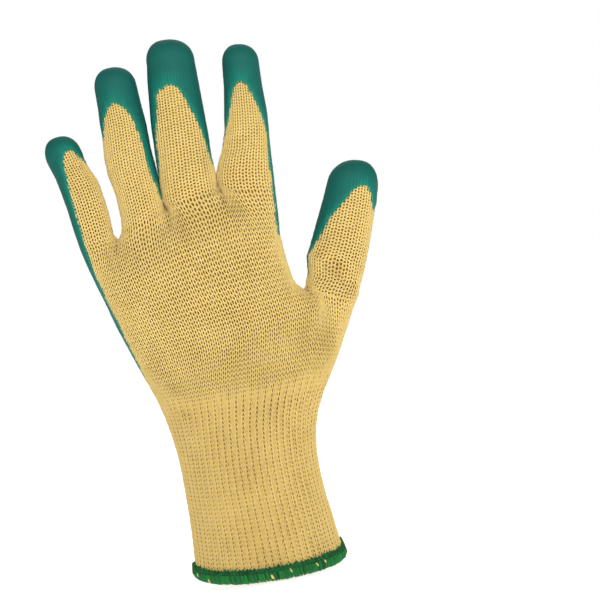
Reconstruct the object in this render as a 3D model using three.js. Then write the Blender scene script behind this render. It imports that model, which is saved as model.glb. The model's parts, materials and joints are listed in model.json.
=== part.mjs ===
// Nitrile coated cotton work glove, left hand, in the shape that it has on a hand.
//
// Millimetres. +Z runs from the wrist opening to the fingertips, the back of the hand faces -Y,
// the palm faces +Y and the thumb is at +X. The origin is the centre of the wrist opening.
//
// One skin is described first: the outer face of the coated glove. The coating is a layer straight
// under that skin, and the knit is a layer under the coating. The skin is a grid of columns, which
// run from each fingertip down to the wrist as the knit's wales do, and of rows, which go round.
import * as THREE from 'three';

// Layers, measured inwards from the skin
const COAT_THICKNESS = 1.0;
const KNIT_THICKNESS = 1.5;
const GAP = 0.3;
const KNIT_OUTER = COAT_THICKNESS + GAP;
const KNIT_INNER = KNIT_OUTER + KNIT_THICKNESS;

// Rows
const FINGER_ROW = 6.9;
const PALM_ROWS = 6;
const HEEL_ROWS = 6;
const CUFF_ROWS = 5;
const ROW_STRETCH = 0.28;

// Levels and reaches along the hand
const CUFF_TOP = 74;
const KNUCKLE_REACH = 24;
const HEEL_REACH = 34;
const HALF_DIGIT = 3;

// The open end of the cuff: heights at the little finger's side and the thumb's side, and the dip
// of the front and the back between them
const CUFF_EDGE_LEFT = 4.4;
const CUFF_EDGE_RIGHT = 1.4;
const CUFF_EDGE_DIP = 3.9;

// Section exponents: 2 is an ellipse, more is squarer
const FINGER_SQUARENESS = 2.15;
const PALM_SQUARENESS = 2.45;
const CUFF_SQUARENESS = 2.15;
const TIP_SQUARENESS = 2.2;
const SQUARENESS_CHANGE = [70, 95];

// Points x, z, y where two digits part, and the lean of the way out between them, in degrees
const CROTCHES = [
  { x: -40, z: 160.5, y: 0, lean: -6 },
  { x: -16.5, z: 163, y: 0, lean: -1 },
  { x: 8, z: 168, y: 0, lean: 2 },
  { x: 37.5, z: 124.5, y: 2, lean: 10 },
];
const LITTLE_BASE = { x: -58.6, z: 157.5, y: 0 };
const INDEX_BASE = { x: 34.3, z: 170, y: 0 };
const THUMB_BASE = { x: 61.8, z: 113, y: 9 };

// Height of the row that meets the thumb's crotch, at the little finger's side
const THUMB_ROW_LEFT = 116;

// Digits in order across the hand. A digit's own frame stands at x, z and leans towards the thumb
// by so many degrees. Along it, each row of the table gives the distance from that point, the two
// edges as the back view shows them, and how far those edges lie towards the palm.
const EDGE_COLUMNS = ['along', 'left', 'right', 'leftY', 'rightY'];
const DIGITS = [
  {
    name: 'little', columns: 5, x: -49.2, z: 159, lean: -11.5,
    tip: { along: 53.4, across: -1.9, y: 8 }, dome: 10, back: 8.4, front: 9.4,
    edges: [
      [-28, -7.3, 3.7, 0, 0],
      [-13, -8.5, 6.7, 0, 0],
      [-0.4, -9.0, 9.3, 0, 0],
      [10, -8.6, 9.5, 0.4, 0.4],
      [20, -7.9, 10.3, 1.2, 1.2],
      [28, -7.8, 10.4, 2.4, 2.4],
      [35, -7.9, 8.5, 3.6, 3.6],
      [44.4, -9.1, 7.7, 5.6, 5.6],
    ],
  },
  {
    name: 'ring', columns: 6, x: -28.2, z: 161.8, lean: -2,
    tip: { along: 76.7, across: -0.9, y: 10 }, dome: 10.3, back: 9.6, front: 10.8,
    edges: [
      [-32, -12.9, 10.6, 0, 0],
      [-0.9, -11.8, 11.7, 0, 0],
      [7, -9.4, 11.5, 0.2, 0.2],
      [18, -9.5, 11.3, 0.8, 0.8],
      [28, -11.4, 11.2, 1.8, 1.8],
      [36, -11.5, 11.2, 2.8, 2.8],
      [48, -10.2, 11.1, 4.6, 4.6],
      [58, -9.5, 10.5, 6.4, 6.4],
      [66.2, -9.3, 10.2, 8, 8],
    ],
  },
  {
    name: 'middle', columns: 6, x: -4.2, z: 165.5, lean: 0,
    tip: { along: 81.2, across: -1.3, y: 10 }, dome: 10.9, back: 10.4, front: 11.6,
    edges: [
      [-36, -12.3, 12.2, 0, 0],
      [-2.5, -12.3, 12.2, 0, 0],
      [14, -12.6, 12.8, 0.4, 0.4],
      [24, -12.6, 12.6, 1.2, 1.2],
      [36, -12.3, 12.5, 2.6, 2.6],
      [46, -11.6, 12.4, 4.0, 4.0],
      [56, -10.4, 12.2, 5.6, 5.6],
      [70.5, -10.2, 12.0, 8, 8],
    ],
  },
  {
    name: 'index', columns: 6, x: 21.2, z: 169, lean: 5.5,
    tip: { along: 70.2, across: -0.1, y: 9 }, dome: 9.3, back: 9.2, front: 10.4,
    edges: [
      [-40, -9.4, 17.5, 0, 0],
      [-23, -11.1, 14.0, 0, 0],
      [-2.3, -13.0, 13.1, 0, 0],
      [10, -13.2, 12.6, 0.4, 0.4],
      [20, -11.2, 12.2, 1.2, 1.2],
      [30, -9.1, 12.1, 2.4, 2.4],
      [40, -8.1, 11.4, 4.0, 4.0],
      [50, -7.5, 10.3, 5.6, 5.6],
      [60.7, -7.5, 9.6, 7.4, 7.4],
    ],
  },
  {
    name: 'thumb', columns: 6, x: 50, z: 119, lean: 19.5,
    tip: { along: 62.9, across: 3.4, y: 13 }, dome: 13, back: 11, front: 12.2,
    edges: [
      [-41, 1.2, 7.0, 2, 4],
      [-24, -4.8, 9.0, 2, 6],
      [-8, -10.4, 11.4, 2, 8],
      [1, -13.6, 13.1, 2, 9.4],
      [7, -11.0, 13.1, 3, 11.2],
      [15, -12.9, 13.9, 4, 13.6],
      [24, -11.4, 13.9, 5.6, 15.4],
      [36, -10.2, 13.5, 7.8, 16.6],
      [45, -9.4, 13.0, 9, 16.6],
      [51.6, -9.0, 12.5, 9.6, 16.2],
    ],
  },
];
const FINGER_COUNT = 4;

// Hand above the thumb's crotch, by height: edges, their shift towards the palm, and the swell of
// the back and of the palm from the line between the edges
const PALM_COLUMNS = ['z', 'left', 'right', 'leftY', 'rightY', 'back', 'front'];
const PALM = [
  [90, -38, 37.5, 0, 2, 17, 21],
  [105, -43.2, 37.5, 0, 2, 17.4, 20],
  [120, -48, 37.5, 0, 2, 17.8, 18.5],
  [124.5, -49.3, 37.5, 0, 2, 18, 18],
  [130, -50.8, 35.3, 0, 1.4, 18, 17.2],
  [140, -53.7, 33.5, 0, 0.6, 17.6, 16.4],
  [150, -56.3, 32.8, 0, 0.2, 17, 15.6],
  [160, -58.7, 33.7, 0, 0, 15.6, 14.8],
  [172, -60.4, 34.4, 0, 0, 14, 14],
];

// Heel of the hand with the thumb's root, wrist and cuff, in the same columns
const HEEL = [
  [-6, -33.8, 37.4, 0, 0, 27, 27],
  [4, -32.6, 36.4, 0, 0, 26.4, 26.4],
  [12, -31.7, 35.2, 0, 0, 25.8, 25.8],
  [21, -31.2, 34.2, 0, 0, 25, 25],
  [30, -30.8, 33, 0, 0, 24.4, 24.4],
  [40, -30.8, 32.2, 0, 0, 23.8, 24],
  [50, -30.8, 32.3, 0, 0, 23, 23.4],
  [60, -31.3, 33.7, 0, 0.4, 21.8, 23],
  [68, -32.4, 36.2, 0, 1, 20.8, 22.6],
  [76, -33.8, 40.2, 0, 1.8, 20, 22.6],
  [85, -36.3, 46, 0, 3.2, 19.4, 23],
  [92, -38.7, 50, 0, 4.6, 19, 23],
  [100, -41.7, 54, 0, 6.4, 18.6, 22.6],
  [107, -43.8, 58, 0, 7.8, 18.4, 22],
  [113, -45.7, 61.8, 0, 9, 18.2, 21],
  [125, -49.4, 67, 0, 10.5, 18, 19],
];

// Folds and swells: the line that one runs along in the back view, its half-width, and its depth,
// which is less than zero where the skin stands out
const FOLD_COLUMNS = ['face', 'x1', 'z1', 'x2', 'z2', 'width', 'depth'];
const FOLDS = [
  ['back', -36, 88, -25, 78, 3.2, 1.5],
  ['back', -31, 101, -25, 91, 4, 1.1],
  ['back', -2, 92, 3, 80, 5, 1.2],
  ['back', 20, 92, 27, 82, 5, 0.8],
  ['back', 47, 140, 55, 131, 3.4, 1.8],
  ['back', 55, 131, 61, 120, 3.6, 2.2],
  ['back', 61, 120, 57, 111, 3.6, 1.4],
  ['back', 66, 122, 63, 112, 4, -1.2],
  ['back', 15, 191, 30, 198, 3, 0.9],
  ['back', 0, 206, 7, 190, 3, 0.7],
  ['back', -18, 174, -12, 186, 3.5, -0.6],
  ['front', 36, 86, 47, 106, 11, -3.2],
  ['front', -28, 92, -34, 120, 9, -1.6],
  ['front', -4, 104, 4, 130, 12, 2.6],
  ['front', -44, 146, 20, 152, 4, 0.9],
  ['front', 16, 138, -2, 96, 4, 0.8],
];

// Outline of the bare knit on each digit in the back view, x and z, from the crotch on the left
// over the top to the crotch on the right. Where it leaves the digit, knit shows to the edge.
const BARE_DIGITS = [
  [[-53.3, 144.7], [-55, 154.7], [-57.3, 174.7], [-58.3, 186], [-58.7, 198], [-57.6, 202.2],
    [-55.3, 203.9], [-53.3, 203.3], [-50.3, 199], [-44, 192], [-34, 170], [-34, 144]],
  [[-46, 144], [-46, 203], [-40, 204.7], [-37.2, 215.5], [-34.5, 219.7], [-31.2, 221.7],
    [-27.5, 218.8], [-24.2, 213], [-22, 204.7], [-20.3, 188], [-18.3, 180.5], [-16.7, 173],
    [-12, 168], [-12, 144]],
  [[-20, 144], [-20, 176], [-17, 187], [-16, 201.3], [-13, 216.3], [-12.7, 220.5],
    [-10.8, 222.7], [-6.7, 224.7], [-3, 224.2], [-0.3, 220.5], [3.3, 211.3], [5.8, 203],
    [8.4, 186.5], [14, 180], [14, 144]],
  [[2, 144], [2, 186], [12.6, 192.5], [17, 203], [21.7, 216.3], [23.3, 218.8], [25.8, 221],
    [28.7, 220], [30.8, 215.5], [33, 208], [34.7, 201.3], [35, 194.7], [34.2, 188],
    [33.3, 170], [32, 150], [32, 144]],
  [[30, 90], [30, 126], [42, 134], [43, 139], [48, 144], [53, 150], [56, 154], [60, 156.5],
    [64, 159.5], [68, 163], [72, 165], [75, 164.5], [77.5, 162], [86, 157], [86, 90]],
];
// The same on the hand, from the heel on the left round to the heel on the right
const BARE_HAND = [[-60, 60], [-39, 86], [-38, 89], [-40.7, 100], [-46.4, 120], [-50.8, 134.7],
  [-53.3, 144.7], [-56.4, 166], [-56.4, 190], [33.3, 190], [33.3, 170], [32, 150], [38, 140],
  [80, 134], [80, 60]];
// Lower edge of the coating on the palm, x and z
const COAT_EDGE = [[-60, 96], [-38, 89], [-20, 82], [0, 79], [20, 80], [35, 88], [50, 103],
  [58, 108], [90, 112]];
// How far the bare knit goes round an edge towards the palm
const BARE_WRAP = 1;
// Usual width of a column, and the height under which the whole back is bare
const COLUMN_WIDTH = 3.2;
const BARE_BELOW = 60;
// No clipped edge comes closer than this to a corner of the grid
const CLIP_CLEARANCE = 0.3;

// Section of the binding: offset from the skin, and height above the cuff's edge
const HEM_SECTION = [
  [-1.0, 5.0], [-0.3, 5.2], [0.3, 3.4], [0.2, 0.6], [-0.9, -1.1], [-3.2, -1.1], [-4.1, 0.6],
  [-4.2, 3.4], [-3.7, 5.2], [-3.1, 5.0], [-3.1, -0.3], [-1.0, -0.3],
];

const MATERIALS = {
  knit_liner: { color: 0xe3c67f, roughness: 0.95 },
  rib_cuff: { color: 0xe0c078, roughness: 0.95 },
  palm_coating: { color: 0x1c6a60, roughness: 0.55 },
  hem_binding: { color: 0x1f7a3e, roughness: 0.85 },
};

function mix(a, b, k) {
  return a + (b - a) * k;
}

function smooth(k) {
  const c = Math.min(Math.max(k, 0), 1);
  return c * c * (3 - 2 * c);
}

// Row of a table at a value of its first column, with straight runs between the rows
function lookUp(table, names, value) {
  let i = 0;
  while (i < table.length - 2 && value > table[i + 1][0]) i += 1;
  const k = (value - table[i][0]) / (table[i + 1][0] - table[i][0]);
  const held = Math.min(Math.max(k, 0), 1);
  return Object.fromEntries(names.map((name, c) => [name, mix(table[i][c], table[i + 1][c], held)]));
}

// Half a superellipse of width 2 and height 1 at share k of its length, from -1 to +1 across
function archPoint(k, height, squareness) {
  const steps = 40;
  const points = [];
  for (let i = 0; i <= steps; i += 1) {
    const angle = Math.PI * i / steps;
    const c = Math.cos(angle);
    points.push([
      -Math.sign(c) * Math.abs(c) ** (2 / squareness),
      height * Math.abs(Math.sin(angle)) ** (2 / squareness),
    ]);
  }
  const lengths = [0];
  for (let i = 1; i <= steps; i += 1) {
    const step = Math.hypot(points[i][0] - points[i - 1][0], points[i][1] - points[i - 1][1]);
    lengths.push(lengths[i - 1] + step);
  }
  const target = k * lengths[steps];
  let i = 1;
  while (i < steps && lengths[i] < target) i += 1;
  const part = (target - lengths[i - 1]) / (lengths[i] - lengths[i - 1]);
  return [
    mix(points[i - 1][0], points[i][0], part),
    mix(points[i - 1][1], points[i][1], part),
  ];
}

// Point of a section between a left and a right edge point, at share t of the way across
function sectionPoint(left, right, up, face, swell, squareness, t) {
  const half = right.clone().sub(left).multiplyScalar(0.5);
  const centre = left.clone().add(right).multiplyScalar(0.5);
  const towardsBack = half.clone().cross(up).normalize();
  const [across, out] = archPoint(t, swell / half.length(), squareness);
  const side = face === 'back' ? 1 : -1;
  return centre.addScaledVector(half, across).addScaledVector(towardsBack, side * out * half.length());
}

function digitAxis(digit) {
  const lean = THREE.MathUtils.degToRad(digit.lean);
  return new THREE.Vector3(Math.sin(lean), 0, Math.cos(lean));
}

function digitPoint(digit, along, across, y) {
  const axis = digitAxis(digit);
  return new THREE.Vector3(
    digit.x + axis.x * along + axis.z * across, y, digit.z + axis.z * along - axis.x * across);
}

// Distance along a digit's own axis of a point that is given in the back view
function alongDigit(digit, point) {
  const axis = digitAxis(digit);
  return (point.x - digit.x) * axis.x + (point.z - digit.z) * axis.z;
}

// Length of the domed tip's outline for a dome of height 1
const DOME_LENGTH = 1.68;

// Point of a digit at a distance along it, closing over the tip by the share dome of its end
function digitSection(digit, along, dome, face, t) {
  const e = lookUp(digit.edges, EDGE_COLUMNS, along);
  const [width, height] = dome > 0 ? archPoint(0.5 + dome / 2, 1, TIP_SQUARENESS) : [0, 1];
  const open = dome > 0 ? height : 1;
  const station = along + digit.dome * width;
  const { across, y } = digit.tip;
  const left = digitPoint(digit, station, mix(across, e.left, open), mix(y, e.leftY, open));
  const right = digitPoint(digit, station, mix(across, e.right, open), mix(y, e.rightY, open));
  const swell = digit[face === 'back' ? 'back' : 'front'] * open;
  return sectionPoint(left, right, digitAxis(digit), face, swell, FINGER_SQUARENESS, t);
}

function handSection(table, z, face, t) {
  const e = lookUp(table, PALM_COLUMNS, z);
  const squareness = mix(CUFF_SQUARENESS, PALM_SQUARENESS,
    smooth((z - SQUARENESS_CHANGE[0]) / (SQUARENESS_CHANGE[1] - SQUARENESS_CHANGE[0])));
  const left = new THREE.Vector3(e.left, e.leftY, z);
  const right = new THREE.Vector3(e.right, e.rightY, z);
  const up = new THREE.Vector3(0, 0, 1);
  return sectionPoint(left, right, up, face, face === 'back' ? e.back : e.front, squareness, t);
}

// Places of the digits among the columns
const firstColumn = [];
let columnCount = 0;
for (const digit of DIGITS) {
  firstColumn.push(columnCount);
  columnCount += digit.columns;
}
const fingerColumns = firstColumn[FINGER_COUNT];

function digitAt(column) {
  const index = DIGITS.findIndex((digit, i) => column <= firstColumn[i] + digit.columns);
  return { index, digit: DIGITS[index], t: (column - firstColumn[index]) / DIGITS[index].columns };
}

// Line through the digits' roots, as a point for each column
const ROOTS = [LITTLE_BASE, ...CROTCHES.slice(0, 3), INDEX_BASE];

function rootHeight(column) {
  const { index, t } = digitAt(column);
  return mix(ROOTS[index].z, ROOTS[index + 1].z, t);
}

function thumbRowHeight(column) {
  if (column <= fingerColumns) {
    return mix(THUMB_ROW_LEFT, CROTCHES[3].z, column / fingerColumns);
  }
  return mix(CROTCHES[3].z, THUMB_BASE.z, (column - fingerColumns) / DIGITS[4].columns);
}

// How nearly a column lies under a crotch: 1 at one, 0 from the middle of a digit on
function nearCrotch(column, crotchColumns) {
  const away = Math.min(...crotchColumns.map((c) => Math.abs(column - c)));
  return smooth(1 - away / HALF_DIGIT);
}

const crotchColumns = firstColumn.slice(1, FINGER_COUNT);

// Share of the way from the digits' own roundness to that of the hand, at a drop below the roots
function rootBlend(drop, reach, near) {
  const s = Math.min(Math.max(drop / reach, 0), 1);
  const round = Math.sqrt(1 - (1 - s) ** 2);
  return mix(smooth(s), round, near);
}

function fold(point, face) {
  for (const row of FOLDS) {
    const f = Object.fromEntries(FOLD_COLUMNS.map((name, c) => [name, row[c]]));
    if (f.face !== face) continue;
    const dx = f.x2 - f.x1;
    const dz = f.z2 - f.z1;
    const k = ((point.x - f.x1) * dx + (point.z - f.z1) * dz) / (dx * dx + dz * dz);
    const held = Math.min(Math.max(k, 0), 1);
    const away = Math.hypot(point.x - f.x1 - dx * held, point.z - f.z1 - dz * held);
    const inwards = face === 'back' ? 1 : -1;
    point.y += inwards * f.depth * Math.exp(-((away / f.width) ** 2));
  }
  return point;
}

// Vertices of the skin, by zone, row, face and column. Zones are the digits, the palm above the
// thumb's crotch, the heel below it, and the cuff. Zones and faces share the vertices where they
// meet, so a name stands for each vertex once.
function vertexName(zone, row, face, column) {
  if (zone < DIGITS.length) {
    const digit = DIGITS[zone];
    const j = column - firstColumn[zone];
    if (row === digitRows(digit)) return `tip ${zone}`;
    if (row === 0 && j === 0 && zone > 0) return `crotch ${zone - 1}`;
    if (row === 0 && j === digit.columns && zone < DIGITS.length - 1) {
      return zone === FINGER_COUNT - 1 ? `digit ${zone} 0 edge ${column}` : `crotch ${zone}`;
    }
    const side = j === 0 || j === digit.columns ? 'edge' : face;
    return `digit ${zone} ${row} ${side} ${column}`;
  }
  if (zone === 'palm') {
    if (row === 0) return vertexName(digitAt(column).index, 0, face, column);
    if (row === PALM_ROWS && column === fingerColumns) return 'crotch 3';
    const side = column === 0 || column === fingerColumns ? 'edge' : face;
    return `palm ${row} ${side} ${column}`;
  }
  if (zone === 'heel' && row === 0) {
    if (column <= fingerColumns) return vertexName('palm', PALM_ROWS, face, column);
    return vertexName(4, 0, face, column);
  }
  if (zone === 'cuff' && row === 0) return vertexName('heel', HEEL_ROWS, face, column);
  const side = column === 0 || column === columnCount ? 'edge' : face;
  return `${zone} ${row} ${side} ${column}`;
}

function digitBase(index) {
  if (index === 4) return [CROTCHES[3], THUMB_BASE];
  return [ROOTS[index], ROOTS[index + 1]];
}

function straightLength(digit) {
  return digit.tip.along - digit.dome;
}

function digitRows(digit) {
  return Math.round((straightLength(digit) + DOME_LENGTH * digit.dome) / FINGER_ROW);
}

function digitVertex(index, row, face, column) {
  const digit = DIGITS[index];
  const t = (column - firstColumn[index]) / digit.columns;
  const [leftRoot, rightRoot] = digitBase(index);
  if (row === 0 && (t === 0 || t === 1)) {
    const root = t === 0 ? leftRoot : rightRoot;
    return new THREE.Vector3(root.x, root.y, root.z);
  }
  const root = mix(alongDigit(digit, leftRoot), alongDigit(digit, rightRoot), t);
  const straight = straightLength(digit);
  const total = straight + DOME_LENGTH * digit.dome;
  const f = row / digitRows(digit);
  const length = total * (f + ROW_STRETCH * f * (1 - f));
  if (length <= straight) {
    return digitSection(digit, mix(root, straight, length / straight), 0, face, t);
  }
  return digitSection(digit, straight, (length - straight) / (DOME_LENGTH * digit.dome), face, t);
}

// A digit's section carried down into the hand, a drop below the digit's root
function digitBelow(index, drop, face, t) {
  const digit = DIGITS[index];
  const [leftRoot, rightRoot] = digitBase(index);
  const root = mix(alongDigit(digit, leftRoot), alongDigit(digit, rightRoot), t);
  return digitSection(digit, root - drop / digitAxis(digit).z, 0, face, t);
}

function palmVertex(row, face, column) {
  const z = mix(rootHeight(column), thumbRowHeight(column), row / PALM_ROWS);
  const drop = rootHeight(column) - z;
  const hand = handSection(PALM, z, face, column / fingerColumns);
  const { index, t } = digitAt(column);
  const finger = digitBelow(index, drop, face, t);
  if (crotchColumns.includes(column)) {
    finger.add(digitBelow(index + 1, drop, face, 0)).multiplyScalar(0.5);
  }
  const blend = rootBlend(drop, KNUCKLE_REACH, nearCrotch(column, crotchColumns));
  finger.lerp(hand, blend);
  finger.z = z;
  return finger;
}

function heelVertex(row, face, column) {
  const z = mix(thumbRowHeight(column), CUFF_TOP, row / HEEL_ROWS);
  const drop = thumbRowHeight(column) - z;
  const whole = handSection(HEEL, z, face, column / columnCount);
  let above;
  if (column <= fingerColumns) {
    above = handSection(PALM, z, face, column / fingerColumns);
  } else {
    above = digitBelow(4, drop, face, (column - fingerColumns) / DIGITS[4].columns);
  }
  const blend = rootBlend(drop, HEEL_REACH, nearCrotch(column, [fingerColumns]));
  above.lerp(whole, blend);
  above.z = z;
  return above;
}

function cuffEdgeHeight(t) {
  return mix(CUFF_EDGE_LEFT, CUFF_EDGE_RIGHT, t) - CUFF_EDGE_DIP * Math.sin(Math.PI * t);
}

function cuffVertex(row, face, column) {
  const t = column / columnCount;
  return handSection(HEEL, mix(CUFF_TOP, cuffEdgeHeight(t), row / CUFF_ROWS), face, t);
}

function vertexPoint(zone, row, face, column) {
  if (zone < DIGITS.length) return digitVertex(zone, row, face, column);
  if (zone === 'palm') return palmVertex(row, face, column);
  if (zone === 'heel') return heelVertex(row, face, column);
  return cuffVertex(row, face, column);
}

// Signed distance from a closed outline, more than zero inside it
function insideBy(outline, x, z) {
  let inside = false;
  let nearest = Infinity;
  for (let i = 0; i < outline.length; i += 1) {
    const [x1, z1] = outline[i];
    const [x2, z2] = outline[(i + 1) % outline.length];
    const dx = x2 - x1;
    const dz = z2 - z1;
    const k = ((x - x1) * dx + (z - z1) * dz) / (dx * dx + dz * dz);
    const held = Math.min(Math.max(k, 0), 1);
    nearest = Math.min(nearest, Math.hypot(x - x1 - dx * held, z - z1 - dz * held));
    if ((z1 > z) !== (z2 > z) && x < x1 + dx * (z - z1) / dz) inside = !inside;
  }
  return inside ? nearest : -nearest;
}

// How far a vertex lies inside the bare knit; less than zero where the coating covers it
function bareBy(zone, row, face, column, point) {
  const side = face === 'back' ? 1 : -1;
  const outline = zone < DIGITS.length ? BARE_DIGITS[zone] : BARE_HAND;
  let first = 0;
  let last = columnCount;
  let parting = Infinity;
  if (zone < DIGITS.length) {
    first = firstColumn[zone];
    last = first + DIGITS[zone].columns;
  }
  if (zone === 'palm') {
    last = fingerColumns;
    const drop = rootHeight(column) - point.z;
    parting = Math.min(...crotchColumns.map((c) => Math.hypot((column - c) * COLUMN_WIDTH, drop)));
  }
  if (zone === 'heel') {
    const drop = thumbRowHeight(column) - point.z;
    parting = Math.hypot((column - fingerColumns) * COLUMN_WIDTH, drop);
  }
  const fromEdge = Math.min((column - first) * COLUMN_WIDTH, (last - column) * COLUMN_WIDTH, parting);
  const bare = Math.min(insideBy(outline, point.x, point.z), side * fromEdge + BARE_WRAP);
  if (zone < FINGER_COUNT || zone === 'palm') return bare;
  const edge = lookUp(COAT_EDGE, ['x', 'z'], point.x).z;
  return face === 'back' ? Math.max(bare, BARE_BELOW - point.z) : Math.max(bare, edge - point.z);
}

// The skin: its vertices, and its four-sided faces listed by zone
function makeSkin() {
  const vertices = new Map();
  const quads = [];
  function vertex(zone, row, face, column) {
    const name = vertexName(zone, row, face, column);
    if (!vertices.has(name)) {
      const point = vertexPoint(zone, row, face, column);
      const bare = bareBy(zone, row, face, column, point);
      const shared = name.includes('edge') || name.startsWith('crotch') || name.startsWith('tip');
      const placed = shared ? point : fold(point, face);
      vertices.set(name, { point: placed, bare, normal: new THREE.Vector3() });
    }
    return name;
  }
  function addZone(zone, rows, from, to) {
    for (let row = 0; row < rows; row += 1) {
      for (const face of ['back', 'front']) {
        for (let column = from; column < to; column += 1) {
          const upper = zone < DIGITS.length ? row + 1 : row;
          const lower = zone < DIGITS.length ? row : row + 1;
          const ring = [
            vertex(zone, lower, face, column),
            vertex(zone, lower, face, column + 1),
            vertex(zone, upper, face, column + 1),
            vertex(zone, upper, face, column),
          ];
          if (face === 'front') ring.reverse();
          quads.push({ zone, ring });
        }
      }
    }
  }
  DIGITS.forEach((digit, i) => {
    addZone(i, digitRows(digit), firstColumn[i], firstColumn[i] + digit.columns);
  });
  addZone('palm', PALM_ROWS, 0, fingerColumns);
  addZone('heel', HEEL_ROWS, 0, columnCount);
  addZone('cuff', CUFF_ROWS, 0, columnCount);
  const triangles = quads.flatMap(({ zone, ring }) => {
    const halves = [[ring[0], ring[1], ring[2]], [ring[0], ring[2], ring[3]]];
    return halves.filter((h) => new Set(h).size === 3).map((names) => ({ zone, names }));
  });
  for (const { names } of triangles) {
    const [a, b, c] = names.map((name) => vertices.get(name).point);
    const area = b.clone().sub(a).cross(c.clone().sub(a));
    for (const name of names) vertices.get(name).normal.add(area);
  }
  for (const v of vertices.values()) v.normal.normalize();
  CROTCHES.forEach(({ lean }, i) => {
    const angle = THREE.MathUtils.degToRad(lean);
    vertices.get(`crotch ${i}`).normal.set(Math.sin(angle), 0, Math.cos(angle));
  });
  return { vertices, triangles };
}

// Part of a triangle list that lies under the coating, cut along the line where bare is zero
function coated(vertices, triangles) {
  const bare = (name) => {
    const value = vertices.get(name).bare;
    return Math.abs(value) < CLIP_CLEARANCE ? CLIP_CLEARANCE * (Math.sign(value) || 1) : value;
  };
  const cut = (a, b) => {
    const [low, high] = a < b ? [a, b] : [b, a];
    const name = `${low} | ${high}`;
    if (!vertices.has(name)) {
      const k = bare(low) / (bare(low) - bare(high));
      const v = vertices.get(low);
      const w = vertices.get(high);
      vertices.set(name, {
        point: v.point.clone().lerp(w.point, k),
        normal: v.normal.clone().lerp(w.normal, k),
        bare: 0,
      });
    }
    return name;
  };
  const kept = [];
  for (const corners of triangles) {
    const ring = [];
    corners.forEach((a, i) => {
      const b = corners[(i + 1) % 3];
      if (bare(a) < 0) ring.push(a);
      if (bare(a) < 0 !== bare(b) < 0) ring.push(cut(a, b));
    });
    for (let i = 1; i + 1 < ring.length; i += 1) kept.push([ring[0], ring[i], ring[i + 1]]);
  }
  return kept;
}

// Closed layer between two depths under the skin, with a lift that moves it along the hand
function makeLayer(vertices, triangles, outer, inner, lift = 0) {
  const positions = [];
  const numbers = new Map();
  function number(name, depth) {
    const key = `${name} @${depth}`;
    if (!numbers.has(key)) {
      const v = vertices.get(name);
      const p = v.point.clone().addScaledVector(v.normal, -depth);
      numbers.set(key, positions.length / 3);
      positions.push(p.x, p.y, p.z + lift);
    }
    return numbers.get(key);
  }
  const faces = [];
  const edges = new Map();
  for (const [a, b, c] of triangles) {
    faces.push(number(a, outer), number(b, outer), number(c, outer));
    faces.push(number(c, inner), number(b, inner), number(a, inner));
    for (const [p, q] of [[a, b], [b, c], [c, a]]) {
      if (edges.has(`${q} > ${p}`)) edges.delete(`${q} > ${p}`);
      else edges.set(`${p} > ${q}`, [p, q]);
    }
  }
  for (const [p, q] of edges.values()) {
    faces.push(number(q, outer), number(p, outer), number(p, inner));
    faces.push(number(q, outer), number(p, inner), number(q, inner));
  }
  const geometry = new THREE.BufferGeometry();
  geometry.setAttribute('position', new THREE.Float32BufferAttribute(positions, 3));
  geometry.setIndex(faces);
  return geometry;
}

// Ring of the binding: its section carried round the cuff's open edge
function makeHem(vertices) {
  const ring = [];
  for (let column = 0; column < columnCount; column += 1) ring.push(['back', column]);
  for (let column = columnCount; column > 0; column -= 1) ring.push(['front', column]);
  const stations = ring.map(([face, column]) => {
    const { point, normal } = vertices.get(vertexName('cuff', CUFF_ROWS, face, column));
    const above = vertices.get(vertexName('cuff', CUFF_ROWS - 1, face, column)).point;
    return { point, out: normal, up: above.clone().sub(point).normalize() };
  });
  const positions = [];
  for (const { point, out, up } of stations) {
    for (const [offset, height] of HEM_SECTION) {
      const p = point.clone().addScaledVector(out, offset).addScaledVector(up, height);
      positions.push(p.x, p.y, p.z - GAP / 2);
    }
  }
  const faces = [];
  const size = HEM_SECTION.length;
  stations.forEach((station, i) => {
    const next = (i + 1) % stations.length;
    for (let j = 0; j < size; j += 1) {
      const k = (j + 1) % size;
      faces.push(i * size + j, next * size + k, next * size + j);
      faces.push(i * size + j, i * size + k, next * size + k);
    }
  });
  const geometry = new THREE.BufferGeometry();
  geometry.setAttribute('position', new THREE.Float32BufferAttribute(positions, 3));
  geometry.setIndex(faces);
  return geometry;
}

function makeMesh(name, geometry) {
  geometry.computeVertexNormals();
  const material = new THREE.MeshStandardMaterial({ metalness: 0, ...MATERIALS[name] });
  const mesh = new THREE.Mesh(geometry, material);
  mesh.name = name;
  return mesh;
}

const { vertices, triangles } = makeSkin();
const handTriangles = triangles.filter(({ zone }) => zone !== 'cuff').map(({ names }) => names);
const cuffTriangles = triangles.filter(({ zone }) => zone === 'cuff').map(({ names }) => names);
const coatTriangles = coated(vertices, handTriangles);

const liner = makeLayer(vertices, handTriangles, KNIT_OUTER, KNIT_INNER, GAP / 2);
const cuff = makeLayer(vertices, cuffTriangles, KNIT_OUTER, KNIT_INNER, -GAP / 2);
const coating = makeLayer(vertices, coatTriangles, 0, COAT_THICKNESS, GAP / 2);

const glove = new THREE.Group();
glove.name = 'coated_glove';
glove.add(makeMesh('knit_liner', liner));
glove.add(makeMesh('rib_cuff', cuff));
glove.add(makeMesh('palm_coating', coating));
glove.add(makeMesh('hem_binding', makeHem(vertices)));

export default glove;
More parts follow.
